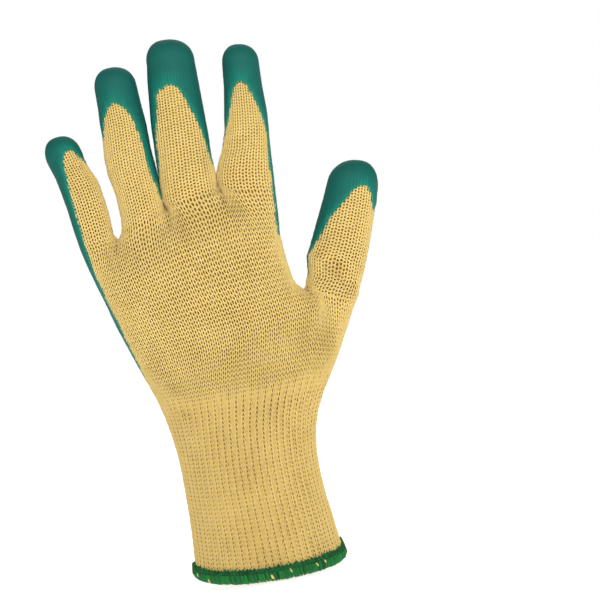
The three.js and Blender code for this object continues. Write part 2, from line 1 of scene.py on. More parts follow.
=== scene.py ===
import json
import math
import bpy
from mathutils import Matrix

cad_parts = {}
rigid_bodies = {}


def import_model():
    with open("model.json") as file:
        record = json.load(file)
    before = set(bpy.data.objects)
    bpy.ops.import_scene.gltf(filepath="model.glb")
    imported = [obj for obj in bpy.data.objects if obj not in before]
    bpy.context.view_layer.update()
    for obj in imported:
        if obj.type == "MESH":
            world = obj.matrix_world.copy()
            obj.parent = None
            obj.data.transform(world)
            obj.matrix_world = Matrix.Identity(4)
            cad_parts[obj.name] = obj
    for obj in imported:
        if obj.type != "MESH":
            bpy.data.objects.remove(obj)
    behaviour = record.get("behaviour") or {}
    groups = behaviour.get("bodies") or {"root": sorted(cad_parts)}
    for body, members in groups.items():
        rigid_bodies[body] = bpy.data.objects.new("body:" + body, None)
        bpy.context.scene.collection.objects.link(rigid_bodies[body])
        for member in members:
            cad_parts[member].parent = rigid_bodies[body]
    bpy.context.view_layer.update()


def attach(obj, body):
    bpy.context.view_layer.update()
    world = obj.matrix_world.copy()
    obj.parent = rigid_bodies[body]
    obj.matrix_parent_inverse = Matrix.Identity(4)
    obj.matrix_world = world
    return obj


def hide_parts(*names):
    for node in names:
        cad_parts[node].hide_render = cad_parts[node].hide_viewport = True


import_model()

from types import SimpleNamespace

import bpy
import numpy as np
from bpy.props import FloatProperty, FloatVectorProperty, IntProperty, PointerProperty
from mathutils import Vector, noise

bl_info = {
    "name": "Coated Work Glove",
    "version": (1, 0, 0),
    "blender": (4, 5, 0),
    "location": "View3D > Sidebar > Glove",
    "description": "Knitted cotton work glove with a nitrile dip, stitch by stitch",
    "category": "Add Mesh",
}

MM = 0.001

# Shape of the glove in millimetres. The skin is the outer face of the coated glove: a grid of
# columns that run from the fingertips to the wrist as the knit's wales do, and of rows round it.
KNUCKLE_REACH = 24
HEEL_REACH = 34
CUFF_TOP = 74
CUFF_EDGE_LEFT = 4.4
CUFF_EDGE_RIGHT = 1.4
CUFF_EDGE_DIP = 3.9
FINGER_SQUARENESS = 2.15
PALM_SQUARENESS = 2.45
CUFF_SQUARENESS = 2.15
TIP_SQUARENESS = 2.2
SQUARENESS_CHANGE = (70, 95)
DOME_LENGTH = 1.68
ROW_STRETCH = 0.2

# Depths under the skin
BASE_DEPTH = 1.3
INSIDE_DEPTH = 2.8
COAT_UNDER = 1.2

# Wales on each half of a digit, and stitch rows
WALES = (10, 12, 12, 12, 12)
FINGER_STITCH = 1.42
PALM_STITCH_ROWS = 22
HEEL_STITCH_ROWS = 24
CUFF_STITCH_ROWS = 39

CROTCHES = (  # x, z, y, lean of the way out in degrees
    (-40, 160.5, 0, -6),
    (-17, 170.5, 0, -1),
    (8.4, 174.5, 0, 2),
    (36.2, 124.8, 2, 10),
)
LITTLE_BASE = (-58.1, 157.6, 0)
INDEX_BASE = (34.3, 170, 0)
THUMB_BASE = (61.3, 113.2, 9.1)
THUMB_ROW_LEFT = 116

# Webs between the digits, where the skin is smoothed: x, y, z, reach, passes
WEBS = ((-40, 0, 158, 5, 12), (-16.8, 0, 168, 4, 5), (8.3, 0, 172, 4, 5), (39.5, 3, 121.5, 5, 30),
        (41.5, 15, 119.5, 5, 40))

# Digits: place and lean of each one's own frame, tip, length of the domed end, swells, and edges
# as rows of distance along, left, right, left y, right y
DIGITS = (
    SimpleNamespace(
        name="little", x=-49.2, z=159, lean=-11.5, tip=(53.4, -1.9, 8), dome=10, back=8.4, front=9.4,
        edges=(
            (-28, -7.3, 3.7, 0, 0), (-13, -8.5, 6.7, 0, 0), (-0.4, -9.0, 9.3, 0, 0),
            (1.8, -8.9, 8.2, 0, 0),
            (10, -8.6, 9.5, 0.4, 0.4), (20, -7.9, 10.3, 1.2, 1.2), (28, -7.8, 10.4, 2.4, 2.4),
            (35, -7.9, 8.5, 3.6, 3.6), (44.4, -9.1, 7.7, 5.6, 5.6),
        )),
    SimpleNamespace(
        name="ring", x=-28.2, z=161.8, lean=-2, tip=(76.7, -0.9, 10), dome=10.3, back=9.6, front=10.8,
        edges=(
            (-32, -12.9, 10.6, 0, 0), (-0.9, -11.8, 11.7, 0, 0), (1.4, -10.4, 11.6, 0, -0.6),
            (7, -9.4, 12.0, 0.2, -1.8),
            (18, -9.5, 11.7, 0.8, -1.6), (28, -11.4, 11.4, 1.8, 0.4), (36, -11.5, 10.9, 2.8, 2.8),
            (48, -10.2, 11.1, 4.6, 4.6), (58, -9.5, 10.5, 6.4, 6.4), (66.2, -9.3, 10.2, 8, 8),
        )),
    SimpleNamespace(
        name="middle", x=-4.2, z=165.5, lean=0, tip=(81.2, -1.3, 10), dome=10.9, back=10.4, front=11.6,
        edges=(
            (-36, -12.3, 12.2, 0, 0), (-2.5, -12.5, 12.2, 0, 0), (6, -14.2, 12.6, 2.2, -1.2),
            (14, -13.9, 13.1, 2.6, -1.8),
            (24, -13.7, 12.6, 2.8, 0.6), (36, -13.2, 12.5, 3.2, 2.6), (46, -12.6, 12.4, 4.0, 4.0),
            (56, -11.7, 12.2, 5.6, 5.6), (63, -11.2, 12.1, 6.8, 6.8), (70.5, -10.2, 12.0, 8, 8),
        )),
    SimpleNamespace(
        name="index", x=21.2, z=169, lean=5.5, tip=(70.2, -0.1, 9), dome=9.3, back=9.2, front=10.4,
        edges=(
            (-40, -9.4, 17.5, 0, 0), (-23, -11.1, 14.0, 0, 0), (-2.3, -13.5, 13.1, 0, 0),
            (4, -14.6, 12.8, 2.0, 0.2), (10, -14.7, 12.6, 2.4, 0.4), (17, -12.8, 12.3, 2.0, 1.0),
            (22, -10.8, 12.2, 1.8, 1.4), (30, -9.1, 12.1, 2.4, 2.4),
            (40, -8.1, 11.4, 4.0, 4.0), (50, -7.5, 10.3, 5.6, 5.6), (60.7, -7.5, 9.6, 7.4, 7.4),
        )),
    SimpleNamespace(
        name="thumb", x=50, z=119, lean=19.5, tip=(62.9, 4.2, 13), dome=14, back=11, front=12.2,
        edges=(
            (-41, 1.2, 7.0, 2, 4), (-24, -4.8, 9.0, 2, 6), (-8, -10.4, 11.4, 2, 8),
            (1, -13.6, 13.1, 2, 9.4), (7, -11.0, 13.1, 3, 11.2), (15, -12.9, 13.9, 4, 13.6),
            (24, -11.4, 14.1, 5.6, 15.4), (36, -10.2, 14.1, 7.8, 16.6), (45, -9.4, 13.9, 9, 16.6),
            (51.6, -9.0, 13.3, 9.6, 16.2),
        )),
)
FINGERS = 4
THUMB = 4

# Zones of the skin after the digits: the hand above the thumb's crotch and below it, and the cuff
PALM_ZONE, HEEL_ZONE, CUFF_ZONE = 5, 6, 7

# Hand: z, left, right, left y, right y, swell of the back, swell of the palm
PALM = (
    (90, -38, 37.5, 0, 2, 17, 21), (105, -43.2, 37.5, 0, 2, 17.4, 20),
    (120, -48, 37, 0, 2, 17.8, 18.5), (124.5, -49.3, 36.2, 0, 2, 18, 18),
    (130, -50.8, 34.8, 0, 1.4, 18, 17.2), (140, -53.7, 33.5, 0, 0.6, 17.6, 16.4),
    (150, -56.3, 32.8, 0, 0.2, 17, 15.6), (160, -58.7, 33.7, 0, 0, 15.6, 14.8),
    (172, -60.4, 34.4, 0, 0, 14, 14),
)
HEEL = (
    (-6, -33.8, 37.4, 0, 0, 27, 27), (4, -32.6, 36.4, 0, 0, 26.4, 26.4),
    (12, -31.7, 35.2, 0, 0, 25.8, 25.8), (21, -31.2, 34.2, 0, 0, 25, 25),
    (30, -30.8, 33, 0, 0, 24.4, 24.4), (40, -30.8, 32.2, 0, 0, 23.8, 24),
    (50, -30.8, 32.3, 0, 0, 23, 23.4), (60, -31.3, 33.7, 0, 0.4, 21.8, 23),
    (68, -32.4, 36.2, 0, 1, 20.8, 22.6), (76, -33.8, 40.2, 0, 1.8, 20, 22.6),
    (85, -36.3, 46, 0, 3.2, 19.4, 23), (92, -38.7, 50, 0, 4.6, 19, 23),
    (100, -41.7, 54, 0, 6.4, 18.6, 22.6), (107, -43.8, 58, 0, 7.8, 18.4, 22),
    (113, -45.7, 61.8, 0, 9, 18.2, 21), (125, -49.4, 67, 0, 10.5, 18, 19),
)

# Folds and swells: on the back or not, line x1, z1 to x2, z2, half-width, depth
FOLDS = (
    (True, -36, 88, -25, 78, 3.2, 1.5), (True, -31, 101, -25, 91, 4, 1.1),
    (True, -2, 92, 3, 80, 5, 1.2), (True, 20, 92, 27, 82, 5, 0.8),
    (True, 47, 140, 55, 131, 3.4, 1.8), (True, 55, 131, 61, 120, 3.6, 2.2),
    (True, 61, 120, 57, 111, 3.6, 1.4), (True, 66, 122, 63, 112, 4, -1.2),
    (True, 15, 191, 30, 198, 3, 0.9), (True, 0, 206, 7, 190, 3, 0.7),
    (True, -18, 174, -12, 186, 3.5, -0.6), (True, -16.9, 170.5, -15.9, 161, 1.5, 1.8),
    (True, 8.3, 174.5, 8.6, 167, 1.5, 1.7),
    (False, 36, 86, 47, 106, 11, -3.2), (False, -28, 92, -34, 120, 9, -1.6),
    (False, -4, 104, 4, 130, 12, 2.6), (False, -44, 146, 20, 152, 4, 0.9),
    (False, 16, 138, -2, 96, 4, 0.8),
)

# Outline of the bare knit on each digit, then on the hand, in the back view: x, z
BARE_DIGITS = (
    ((-53.3, 144.7), (-55, 154.7), (-57.3, 174.7), (-58.3, 186), (-58.7, 198), (-57.6, 202.2),
     (-55.3, 203.9), (-53.3, 203.3), (-50.3, 199), (-44, 192), (-34, 170), (-34, 144)),
    ((-46, 144), (-46, 203), (-40, 204.7), (-37.2, 215.5), (-34.5, 219.7), (-31.2, 221.7),
     (-27.5, 218.8), (-24.2, 213), (-22, 204.7), (-20.3, 188), (-18.3, 180.5), (-16.7, 173),
     (-12, 168), (-12, 144)),
    ((-20, 144), (-20, 176), (-17, 187), (-16, 201.3), (-13, 216.3), (-12.7, 220.5),
     (-10.8, 222.7), (-6.7, 224.7), (-3, 224.2), (-0.3, 220.5), (3.3, 211.3), (5.8, 203),
     (8.4, 186.5), (14, 180), (14, 144)),
    ((2, 144), (2, 186), (12.6, 192.5), (17, 203), (21.7, 216.3), (23.3, 218.8), (25.8, 221),
     (28.7, 220), (30.8, 215.5), (33, 208), (34.7, 201.3), (35, 194.7), (34.2, 188),
     (33.3, 170), (32, 150), (32, 144)),
    ((30, 90), (30, 126), (42, 134), (43, 139), (48, 144), (53, 150), (56, 154), (60, 156.5),
     (64, 159.5), (68, 163), (72, 165), (75, 164.5), (76.8, 161.5), (76.6, 158.5), (77, 153),
     (78.5, 149), (86, 147), (86, 90)),
)
BARE_HAND = (
    (-60, 20), (-60, 60), (-39, 86), (-38, 89), (-40.7, 100), (-46.4, 120), (-50.8, 134.7),
    (-53.3, 144.7), (-56.4, 166), (-56.4, 190), (33.3, 190), (33.3, 170), (32, 150), (38, 140),
    (80, 134), (80, 20),
)
# Lower edge of the palm's coating: x, z
COAT_EDGE = (
    (-60, 96), (-38, 89), (-20, 82), (0, 79), (20, 80), (35, 88), (50, 103), (58, 108), (90, 112),
)
# How far the bare knit runs over the back's side edges, and more of it in the thumb's web
BARE_WRAP = 1.0
WEB_BARE = 1.2
WEB_BARE_REACH = 7
# Height under which the whole back is bare, and the width that a column counts for
BARE_BELOW = 60
COLUMN_WIDTH = 1.6
CLIP_CLEARANCE = 0.05

FIRST = np.concatenate(([0], np.cumsum(WALES)))
COLUMNS = int(FIRST[-1])
FINGER_COLUMNS = int(FIRST[FINGERS])
HALF_DIGIT = 6
FOLD_FADE = 2
LEAST_STEP = 0.05
# Smoothing of a web: how far it goes in shares of its reach, and how far a point moves in a pass
RELAX_RANGE = 2.5
RELAX_SPEED = 0.5


def mix(a, b, k):
    return a + (b - a) * k


def smooth(k):
    c = np.clip(k, 0, 1)
    return c * c * (3 - 2 * c)


def look_up(table, value):
    """Columns of a table after its first, at values of the first, as arrays."""
    rows = np.array(table, float)
    return [np.interp(value, rows[:, 0], rows[:, c]) for c in range(1, rows.shape[1])]


def arch(share, height, squareness, steps=48):
    """Points at shares of the length of half a superellipse of width 2, from -1 to +1 across."""
    share, height, squareness = (a[..., None] for a in np.broadcast_arrays(share, height, squareness))
    angle = np.linspace(0, math.pi, steps + 1)
    c, s = np.cos(angle), np.abs(np.sin(angle))
    x = -np.sign(c) * np.abs(c) ** (2 / squareness)
    y = height * s ** (2 / squareness)
    length = np.cumsum(np.hypot(np.diff(x), np.diff(y)), axis=-1)
    length = np.concatenate((np.zeros(share.shape), length), axis=-1)
    target = np.clip(share, 0, 1) * length[..., -1:]
    i = np.clip((length < target).sum(axis=-1, keepdims=True), 1, steps)
    low, high = (np.take_along_axis(length, j, -1) for j in (i - 1, i))
    part = (target - low) / (high - low)
    return [mix(np.take_along_axis(values, i - 1, -1), np.take_along_axis(values, i, -1), part)[..., 0]
            for values in (x, y)]


def unit(v):
    return v / np.maximum(np.linalg.norm(v, axis=-1, keepdims=True), 1e-12)


def section_point(left, right, up, back, swell, squareness, t):
    """Point at share t across a section between two edge points."""
    half = (right - left) / 2
    reach = np.maximum(np.linalg.norm(half, axis=-1), 1e-9)
    across, out = arch(t, swell / reach, squareness)
    towards_back = unit(np.cross(half, np.broadcast_to(up, half.shape)))
    out = (1 if back else -1) * out * reach
    return (left + right) / 2 + half * across[..., None] + towards_back * out[..., None]


def digit_axis(digit):
    lean = math.radians(digit.lean)
    return np.array((math.sin(lean), 0.0, math.cos(lean)))


def along_digit(digit, x, z):
    axis = digit_axis(digit)
    return (x - digit.x) * axis[0] + (z - digit.z) * axis[2]


def digit_point(digit, along, across, y):
    axis = digit_axis(digit)
    x = digit.x + axis[0] * along + axis[2] * across
    z = digit.z + axis[2] * along - axis[0] * across
    return np.stack(np.broadcast_arrays(x, y, z), axis=-1)


def digit_section(digit, along, dome, back, t):
    """Points of a digit at a distance along it, closing over the tip by the share dome."""
    along, dome, t = np.broadcast_arrays(along, dome, t)
    left, right, left_y, right_y = look_up(digit.edges, along)
    width, height = arch(0.5 + dome / 2, 1.0, TIP_SQUARENESS)
    is_open = np.where(dome > 0, height, 1.0)
    station = along + np.where(dome > 0, digit.dome * width, 0.0)
    _, tip_across, tip_y = digit.tip
    ends = [digit_point(digit, station, mix(tip_across, side, is_open), mix(tip_y, side_y, is_open))
            for side, side_y in ((left, left_y), (right, right_y))]
    swell = (digit.back if back else digit.front) * is_open
    return section_point(*ends, digit_axis(digit), back, swell, FINGER_SQUARENESS, t)


def hand_section(table, z, back, t):
    z, t = np.broadcast_arrays(z, t)
    left, right, left_y, right_y, back_swell, palm_swell = look_up(table, z)
    low, high = SQUARENESS_CHANGE
    squareness = mix(CUFF_SQUARENESS, PALM_SQUARENESS, smooth((z - low) / (high - low)))
    a = np.stack((left, left_y, z), axis=-1)
    b = np.stack((right, right_y, z), axis=-1)
    up = np.array((0.0, 0.0, 1.0))
    return section_point(a, b, up, back, back_swell if back else palm_swell, squareness, t)


ROOTS = (LITTLE_BASE, *(c[:3] for c in CROTCHES[:3]), INDEX_BASE)


def digit_root(index, t):
    """Distance along a digit of its root, at share t across it, and the root's two corners."""
    digit = DIGITS[index]
    left, right = (CROTCHES[3][:3], THUMB_BASE) if index == THUMB else ROOTS[index:index + 2]
    return mix(along_digit(digit, *left[:2]), along_digit(digit, *right[:2]), t), left, right


def root_height(column):
    return np.interp(column, FIRST[:FINGERS + 1], [r[1] for r in ROOTS])


def thumb_row_height(column):
    return np.interp(column, (0, FINGER_COLUMNS, COLUMNS),
                     (THUMB_ROW_LEFT, CROTCHES[3][1], THUMB_BASE[1]))


def near_crotch(column, crotch_columns):
    away = np.min([np.abs(column - c) for c in crotch_columns], axis=0)
    return smooth(1 - away / HALF_DIGIT)


def root_blend(drop, reach, near):
    s = np.clip(drop / reach, 0, 1)
    return mix(smooth(s), np.sqrt(1 - (1 - s) ** 2), near)


def straight_length(digit):
    return digit.tip[0] - digit.dome


def full_length(digit):
    return straight_length(digit) + DOME_LENGTH * digit.dome


def zone_columns(zone):
    """First and last column of a zone."""
    if zone < len(DIGITS):
        return FIRST[zone], FIRST[zone + 1]
    return 0, FINGER_COLUMNS if zone == PALM_ZONE else COLUMNS


def digit_grid(index, f, column, back):
    digit = DIGITS[index]
    t = (column - FIRST[index]) / WALES[index]
    root, left, right = digit_root(index, t)
    straight = straight_length(digit)
    length = full_length(digit) * (f + ROW_STRETCH * f * (1 - f))
    along = np.where(length <= straight, mix(root, straight, length / straight), straight)
    dome = np.clip((length - straight) / (DOME_LENGTH * digit.dome), 0, 1)
    points = digit_section(digit, along, dome, back, t)
    for place, (x, z, y) in ((0, left), (-1, right)):
        points[0, place] = (x, y, z)
    return points


def digit_below(index, drop, back, t):
    """A digit's section carried down into the hand."""
    digit = DIGITS[index]
    along = digit_root(index, t)[0] - drop / digit_axis(digit)[2]
    return digit_section(digit, along, np.zeros_like(drop), back, t)


def palm_grid(f, column, back):
    z = mix(root_height(column), thumb_row_height(column), f)
    drop = root_height(column) - z
    whole = hand_section(PALM, z, back, column / FINGER_COLUMNS)
    above, weight = np.zeros_like(whole), np.zeros(z.shape)
    for index in range(FINGERS):
        inside = ((column >= FIRST[index]) & (column <= FIRST[index + 1])).astype(float)
        t = np.clip((column - FIRST[index]) / WALES[index], 0, 1)
        above += digit_below(index, drop, back, t) * inside[..., None]
        weight += inside
    near = near_crotch(column, FIRST[1:FINGERS])
    points = mix(above / weight[..., None], whole, root_blend(drop, KNUCKLE_REACH, near)[..., None])
    points[..., 2] = z
    return points


def heel_grid(f, column, back):
    z = mix(thumb_row_height(column), CUFF_TOP, f)
    drop = thumb_row_height(column) - z
    whole = hand_section(HEEL, z, back, column / COLUMNS)
    hand = hand_section(PALM, z, back, np.clip(column / FINGER_COLUMNS, 0, 1))
    thumb = digit_below(THUMB, drop, back, np.clip((column - FINGER_COLUMNS) / WALES[THUMB], 0, 1))
    above = np.where((column <= FINGER_COLUMNS)[..., None], hand, thumb)
    near = near_crotch(column, [FINGER_COLUMNS])
    points = mix(above, whole, root_blend(drop, HEEL_REACH, near)[..., None])
    points[..., 2] = z
    return points


def cuff_edge_height(t):
    return mix(CUFF_EDGE_LEFT, CUFF_EDGE_RIGHT, t) - CUFF_EDGE_DIP * np.sin(math.pi * t)


def cuff_grid(f, column, back):
    t = column / COLUMNS
    return hand_section(HEEL, mix(CUFF_TOP, cuff_edge_height(t), f), back, t)


def fold(points, back, from_edge):
    """Presses the folds into a grid of points, fading at its side edges."""
    fade = np.clip(from_edge / FOLD_FADE, 0, 1)
    for on_back, x1, z1, x2, z2, width, depth in FOLDS:
        if on_back != back:
            continue
        away = line_distance(points[..., 0], points[..., 2], x1, z1, x2, z2)
        points[..., 1] += (1 if back else -1) * depth * fade * np.exp(-((away / width) ** 2))


def line_distance(x, z, x1, z1, x2, z2):
    dx, dz = x2 - x1, z2 - z1
    k = np.clip(((x - x1) * dx + (z - z1) * dz) / (dx * dx + dz * dz), 0, 1)
    return np.hypot(x - x1 - dx * k, z - z1 - dz * k)


def inside_by(outline, x, z):
    """Signed distance from a closed outline, more than zero inside it."""
    inside = np.zeros(x.shape, bool)
    nearest = np.full(x.shape, np.inf)
    for (x1, z1), (x2, z2) in zip(outline, outline[1:] + outline[:1]):
        nearest = np.minimum(nearest, line_distance(x, z, x1, z1, x2, z2))
        if z1 != z2:
            inside ^= ((z1 > z) != (z2 > z)) & (x < x1 + (x2 - x1) * (z - z1) / (z2 - z1))
    return np.where(inside, nearest, -nearest)


def bare_by(zone, column, points, back):
    """How far points lie inside the bare knit; less than zero where the coating covers them."""
    x, z = points[..., 0], points[..., 2]
    first, last = zone_columns(zone)
    outline = BARE_DIGITS[zone] if zone < len(DIGITS) else BARE_HAND
    from_edge = np.minimum(column - first, last - column) * COLUMN_WIDTH
    crotch_columns, top = (), 0
    if zone == PALM_ZONE:
        crotch_columns, top = FIRST[1:FINGERS], root_height(column)
    if zone == HEEL_ZONE:
        crotch_columns, top = (FINGER_COLUMNS,), thumb_row_height(column)
    for crotch in crotch_columns:
        from_edge = np.minimum(from_edge, np.hypot((column - crotch) * COLUMN_WIDTH, top - z))
    web_x, web_z = CROTCHES[FINGERS - 1][:2]
    near_web = np.exp(-(np.hypot(x - web_x, z - web_z) / WEB_BARE_REACH) ** 2)
    wrap = BARE_WRAP + WEB_BARE * near_web
    bare = np.minimum(inside_by(outline, x, z), (1 if back else -1) * from_edge + wrap)
    if zone < FINGERS or zone == PALM_ZONE:
        return bare
    below = BARE_BELOW if back else np.interp(x, *zip(*COAT_EDGE))
    return np.maximum(bare, below - z)


def make_skin(per_wale, finger_pitch, palm_rows, heel_rows, cuff_rows):
    """The skin as vertices and quads. Each quad keeps its zone, face, row and column."""
    points, bares, heads, quads, info, ids = [], [], [], [], [], {}
    hand_rows = {PALM_ZONE: palm_rows, HEEL_ZONE: heel_rows, CUFF_ZONE: cuff_rows}
    count = 0
    for zone in range(CUFF_ZONE + 1):
        is_digit = zone < len(DIGITS)
        rows = round(full_length(DIGITS[zone]) / finger_pitch) if is_digit else hand_rows[zone]
        low, high = zone_columns(zone)
        f = np.linspace(0, 1, rows + 1)[:, None]
        column = np.linspace(low, high, (high - low) * per_wale + 1)[None, :]
        column = np.broadcast_to(column, (rows + 1, column.shape[1]))
        for back in (True, False):
            if is_digit:
                grid = digit_grid(zone, f, column, back)
            else:
                grid = (palm_grid, heel_grid, cuff_grid)[zone - PALM_ZONE](f, column, back)
            bare = bare_by(zone, column, grid, back)
            fold(grid, back, np.minimum(column - low, high - column))
            step = np.linalg.norm(np.gradient(grid, axis=0), axis=2)
            points.append(grid.reshape(-1, 3))
            bares.append(bare.ravel())
            heads.append((np.abs(np.gradient(bare, axis=0)) / np.maximum(step, LEAST_STEP)).ravel())
            ids[zone, back] = np.arange(count, count + bare.size).reshape(bare.shape)
            count += bare.size
        front, back = ids[zone, False], ids[zone, True]
        if is_digit:
            back[-1, :] = back[-1, 0]
            front[-1, :] = back[-1, 0]
        front[:, 0], front[:, -1] = back[:, 0], back[:, -1]
        if 0 < zone < FINGERS:
            back[0, 0] = front[0, 0] = ids[zone - 1, True][0, -1]
        for face in (True, False):
            grid = ids[zone, face]
            if zone == PALM_ZONE:
                parts = [ids[d, face][0] for d in range(FINGERS)]
                grid[0] = np.concatenate([parts[0], *(p[1:] for p in parts[1:])])
                grid[-1, -1] = ids[THUMB, True][0, 0]
            if zone == HEEL_ZONE:
                grid[0] = np.concatenate([ids[PALM_ZONE, face][-1], ids[THUMB, face][0, 1:]])
            if zone == CUFF_ZONE:
                grid[0] = ids[HEEL_ZONE, face][-1]
    for (zone, face), grid in ids.items():
        lower, upper = (grid[:-1], grid[1:]) if zone < len(DIGITS) else (grid[1:], grid[:-1])
        ring = np.stack((lower[:, :-1], lower[:, 1:], upper[:, 1:], upper[:, :-1]), axis=-1)
        r, c = np.indices(ring.shape[:2])
        tag = np.stack((np.full(r.shape, zone), np.full(r.shape, int(face)), r, c), axis=-1)
        quads.append((ring if face else ring[..., ::-1]).reshape(-1, 4))
        info.append(tag.reshape(-1, 4))
    skin = SimpleNamespace(
        points=np.concatenate(points), bare=np.concatenate(bares),
        head=np.clip(np.concatenate(heads), 0, 1),
        quads=np.concatenate(quads), info=np.concatenate(info), ids=ids, per_wale=per_wale)
    for x, y, z, reach, passes in WEBS:
        relax(skin, np.array((x, y, z)), reach, passes * per_wale ** 2)
    skin.normals = vertex_normals(skin.points, skin.quads)
    for i, (*_, lean) in enumerate(CROTCHES):
        angle = math.radians(lean)
        skin.normals[ids[i + 1, True][0, 0]] = (math.sin(angle), 0, math.cos(angle))
    return skin


def relax(skin, centre, reach, passes):
    """Smooths the skin round a web between two digits."""
    near = np.linalg.norm(skin.points - centre, axis=1) < RELAX_RANGE * reach
    quads = skin.quads[near[skin.quads].any(axis=1)]
    corners = np.concatenate((quads.ravel(), np.roll(quads, 1, axis=1).ravel()))
    used, place = np.unique(corners, return_inverse=True)
    a, b = np.split(place, 2)
    points, size = skin.points[used], len(used)
    weight = np.exp(-(np.linalg.norm(points - centre, axis=1) / reach) ** 2)
    weight[~near[used]] = 0
    count = np.bincount(a, minlength=size) + np.bincount(b, minlength=size)
    for _ in range(passes):
        total = [np.bincount(a, points[b, k], size) + np.bincount(b, points[a, k], size)
                 for k in range(3)]
        mean = np.stack(total, axis=1) / count[:, None]
        points = mix(points, mean, RELAX_SPEED * weight[:, None])
    skin.points[used] = points


def vertex_normals(points, quads):
    p = points[quads]
    area = np.cross(p[:, 2] - p[:, 0], p[:, 3] - p[:, 1])
    total = np.zeros_like(points)
    for k in range(4):
        np.add.at(total, quads[:, k], area)
    return unit(total)


# Meshes and objects

def link_object(name, data):
    obj = bpy.data.objects.new(name, data)
    bpy.context.scene.collection.objects.link(obj)
    return obj


def new_object(name, points, faces, materials, smooth_faces=True):
    """A mesh object from points in millimetres."""
    mesh = bpy.data.meshes.new(name)
    mesh.from_pydata((np.asarray(points) * MM).tolist(), [], faces)
    for material in materials:
        mesh.materials.append(material)
    if smooth_faces:
        mesh.polygons.foreach_set("use_smooth", np.ones(len(mesh.polygons), bool))
    mesh.validate()
    mesh.update()
    return link_object(name, mesh)


def add_attributes(mesh, values):
    for name, array in values.items():
        attribute = mesh.attributes.new(name, "FLOAT", "POINT")
        attribute.data.foreach_set("value", np.asarray(array, float).reshape(-1))


def clean_faces(faces):
    """Faces as lists without repeated corners, and none with fewer than three."""
    result = []
    for face in faces:
        ring = [v for i, v in enumerate(face) if v != face[i - 1]]
        if len(ring) > 2:
            result.append(ring)
    return result


def compact(points, faces, *arrays):
    """Drops the points that no face uses."""
    used = np.unique(np.concatenate([np.asarray(f) for f in faces]))
    place = np.full(len(points), -1)
    place[used] = np.arange(len(used))
    return (points[used], [[int(place[v]) for v in f] for f in faces], *(a[used] for a in arrays))


def boundary_edges(faces):
    """Edges that only one face uses, in that face's direction."""
    edges = {}
    for face in faces:
        for a, b in zip(face, face[1:] + face[:1]):
            if (b, a) in edges:
                del edges[b, a]
            else:
                edges[a, b] = True
    return list(edges)


def thick_layer(outer_faces, inner_faces, outer, inner):
    """A closed layer: outer faces on one set of points, inner faces turned round on the other."""
    n = len(outer)
    rim = [[b, a, a + n, b + n] for a, b in boundary_edges(outer_faces)]
    under = [[v + n for v in reversed(f)] for f in inner_faces]
    return np.concatenate((outer, inner)), outer_faces + under + rim


# Node helpers

class Graph:
    """The nodes of one tree, with short ways to make and join them."""

    def __init__(self, tree):
        self.nodes, self.links = tree.nodes, tree.links

    def feed(self, socket, value):
        """Links an output to a socket, or sets the socket to a value."""
        if isinstance(value, bpy.types.NodeSocket):
            self.links.new(value, socket)
        else:
            socket.default_value = (*value, 1)[:4] if socket.type == "RGBA" else value

    def node(self, kind, inputs=(), **values):
        made = self.nodes.new(kind)
        for key, value in values.items():
            setattr(made, key, value)
        for key, value in dict(inputs).items():
            self.feed(made.inputs[key], value)
        return made

    def attribute(self, name):
        return self.node("ShaderNodeAttribute", attribute_name=name).outputs["Fac"]

    def place(self):
        return self.node("ShaderNodeTexCoord").outputs["Object"]

    def noise(self, scale, detail=2.0, roughness=0.5):
        values = {"Vector": self.place(), "Scale": scale, "Detail": detail, "Roughness": roughness}
        return self.node("ShaderNodeTexNoise", values).outputs[0]

    def math(self, operation, *values, clamp=False):
        made = self.node("ShaderNodeMath", enumerate(values), operation=operation, use_clamp=clamp)
        return made.outputs[0]

    def mix(self, factor, a, b):
        return self.node("ShaderNodeMix", {0: factor, 6: a, 7: b}, data_type="RGBA").outputs[2]

    def map_range(self, value, low, high, to_low, to_high, kind="SMOOTHSTEP"):
        values = enumerate((value, low, high, to_low, to_high))
        return self.node("ShaderNodeMapRange", values, interpolation_type=kind).outputs[0]

    def bump(self, height, strength, distance):
        values = {"Height": height, "Strength": strength, "Distance": distance}
        return self.node("ShaderNodeBump", values).outputs[0]

    def surface(self, values):
        for key, value in values.items():
            self.feed(self.nodes["Principled BSDF"].inputs[key], value)


def new_material(name):
    material = bpy.data.materials.new(name)
    material.use_nodes = True
    return material, Graph(material.node_tree)


# Materials

def yarn_material():
    """Cotton yarn: matt, fuzzy, a little uneven in colour, green where the dip soaked in, and darker in
    the rib's sunk wales as painted shade.
    """
    material, g = new_material("cotton_yarn")
    s = settings()
    cotton = g.mix(g.attribute("tint"), s.cotton_shade, s.cotton)
    cotton = g.mix(g.math("MULTIPLY", g.noise(60, 3), 0.35), cotton, s.cotton_light)
    # Painted shade: the rib's sunk wales take the darker groove colour
    cotton = g.mix(g.attribute("groove_shade"), cotton, s.cotton_recess_shade)
    g.surface({
        "Base Color": g.mix(g.attribute("soak"), cotton, s.coat_edge),
        "Roughness": 0.92,
        "Sheen Weight": 0.25,
        "Sheen Roughness": 0.6,
        "Specular IOR Level": 0.2,
        "Normal": g.bump(g.noise(2600, 2, 0.6), 0.35, 0.0002),
    })
    return material


def base_material():
    """The knit's ground, which shows only between the stitches; its dark brown is painted shade in the
    holes.
    """
    material, g = new_material("knit_ground")
    ground_shade = settings().ground_shade
    grain = g.noise(900, 3, 0.6)
    g.surface({
        # Painted shade: this dark brown stands for the shade in the holes
        "Base Color": g.mix(grain, tuple(c * 0.75 for c in ground_shade), ground_shade),
        "Roughness": 0.95,
        "Specular IOR Level": 0.15,
        "Normal": g.bump(grain, 0.5, 0.0003),
    })
    return material


